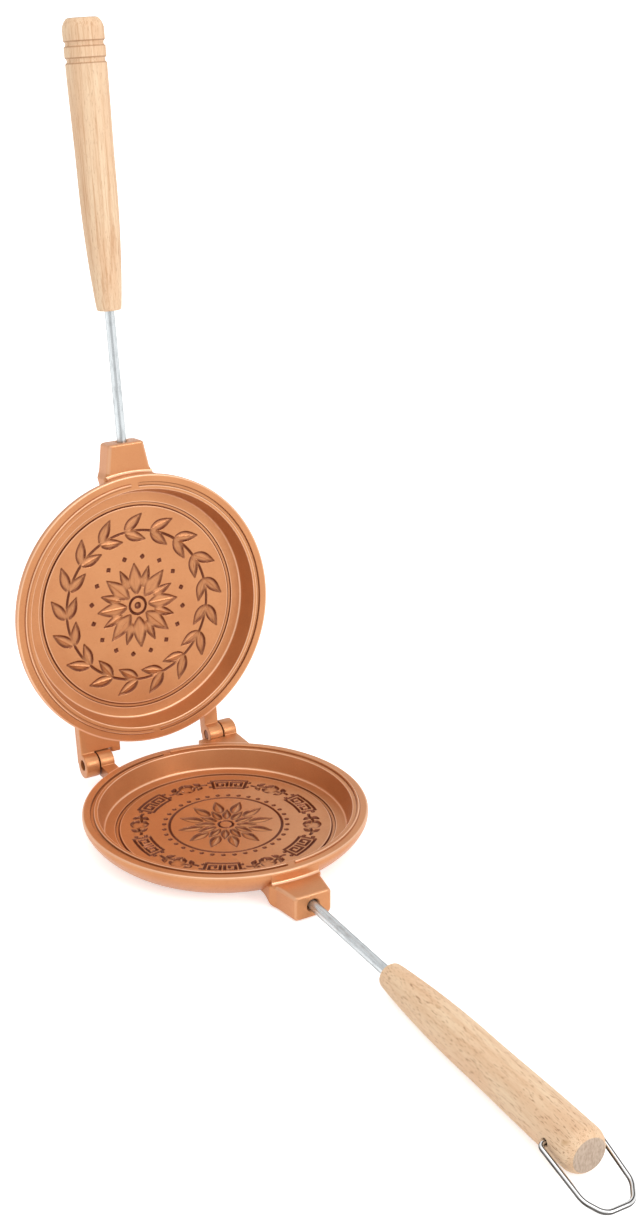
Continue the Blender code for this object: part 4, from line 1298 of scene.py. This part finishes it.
def direction(azimuth, elevation):
    """Unit vector from the object towards a place given in degrees from the front."""
    turn, lift = math.radians(azimuth), math.radians(elevation)
    return Vector((math.sin(turn) * math.cos(lift), -math.cos(turn) * math.cos(lift), math.sin(lift)))


def add_sun(name, azimuth, elevation, strength, softness):
    """Broad even light from a direction given in degrees."""
    data = bpy.data.lights.new(name, "SUN")
    data.energy = strength
    data.angle = math.radians(softness)
    turned = direction(azimuth, elevation).to_track_quat("Z", "Y").to_matrix()
    make_object(name, data, turned.to_4x4())


def build_camera():
    """Camera at the photograph's viewing angle, worked out in the lower pan's frame."""
    turn = math.radians(CAMERA_AZIMUTH)
    roll = math.radians(CAMERA_ROLL)
    back = direction(CAMERA_AZIMUTH, CAMERA_ELEVATION)
    level = Vector((math.cos(turn), math.sin(turn), 0.0))
    rise = back.cross(level)
    right = level * math.cos(roll) + rise * math.sin(roll)
    up = rise * math.cos(roll) - level * math.sin(roll)
    across = (RIM_CENTRE_PIXEL[0] - IMAGE_WIDTH / 2.0) / FOCAL_PIXELS * CAMERA_DEPTH
    above = (IMAGE_HEIGHT / 2.0 - RIM_CENTRE_PIXEL[1]) / FOCAL_PIXELS * CAMERA_DEPTH
    place = back * CAMERA_DEPTH - right * across - up * above
    data = bpy.data.cameras.new("photo_camera")
    data.sensor_fit = "VERTICAL"
    data.sensor_height = SENSOR_HEIGHT
    data.lens = FOCAL_PIXELS * SENSOR_HEIGHT / IMAGE_HEIGHT
    data.clip_end = 50.0
    turned = Matrix((right, up, back)).transposed().to_4x4()
    matrix = lower_frame @ Matrix.Translation(place) @ turned
    bpy.context.scene.camera = make_object("photo_camera", data, matrix)


# Assembly: both halves share the casting, its coat and the steel of the pins

casting = casting_mesh()
coat = coat_material()
pin_steel = steel_material("pin_steel", PIN_COAT, 0.40, PIN_HIGHLIGHT_SIDE)


def add_piece(name, mesh, place, body, node, material):
    """Link a piece, give it its material and body, and hide the imported node it replaces."""
    item = make_object(name, mesh, place)
    item.data.materials.clear()
    item.data.materials.append(material)
    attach(item, body)
    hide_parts(node)


def build_half(half, pan_frame, handle, pattern, pin, grooves):
    """Casting, floor relief, pin, rod and grip of the lower or the upper half."""
    body, pan = half + "_half", half + "_pan"
    add_piece(pan + "_casting", casting.copy(), pan_frame, body, pan, coat)
    relief = relief_mesh(half + "_relief", pattern)
    add_piece(half + "_floor_relief", relief, pan_frame, body, pan, coat)
    bar = bar_mesh("pin", PIN_RADIUS, INNER_KNUCKLE_START + PIN_END_GAP,
                   outer_knuckle_end - PIN_RECESS, PIN_CHAMFER)
    place = pan_frame @ Matrix.Translation((0.0, hinge_y, hinge_z)) @ ALONG_X
    add_piece(pin + "_steel", bar, place, body, pin, pin_steel)
    bar = bar_mesh("rod", ROD_RADIUS, -ROD_SEAT_DEPTH, ROD_BARE_LENGTH + ROD_IN_GRIP, ROD_CHAMFER)
    steel = steel_material("rod_steel_" + half, ROD_STEEL, 0.28, ROD_HIGHLIGHT_SIDE[half])
    add_piece(half + "_rod_steel", bar, handle @ ALONG_HANDLE, body, half + "_handle_rod",
              steel)
    grip = grip_mesh(grooves) if grooves else drilled_grip_mesh()
    place = handle @ Matrix.Translation((0.0, -ROD_BARE_LENGTH, 0.0)) @ ALONG_HANDLE
    add_piece(half + "_grip_beech", grip, place, body, half + "_grip",
              beech_material(half, grooves))


build_half("lower", lower_frame, lower_handle, key_relief, "hinge_pin_right", [])
build_half("upper", upper_frame, upper_handle, garland_relief, "hinge_pin_left",
           [GROOVE_FROM_END, GROOVE_FROM_END + GROOVE_SPACING])
add_piece("bail_wire", bail_mesh(), Matrix.Translation(bail_pivot), "bail", "latch_bail",
          chrome_material())
build_floor(floor_material())
build_world()
add_sun("key_light", *KEY_LIGHT)
add_sun("top_light", *TOP_LIGHT)
build_camera()
scene = bpy.context.scene
scene.view_settings.view_transform = "Standard"
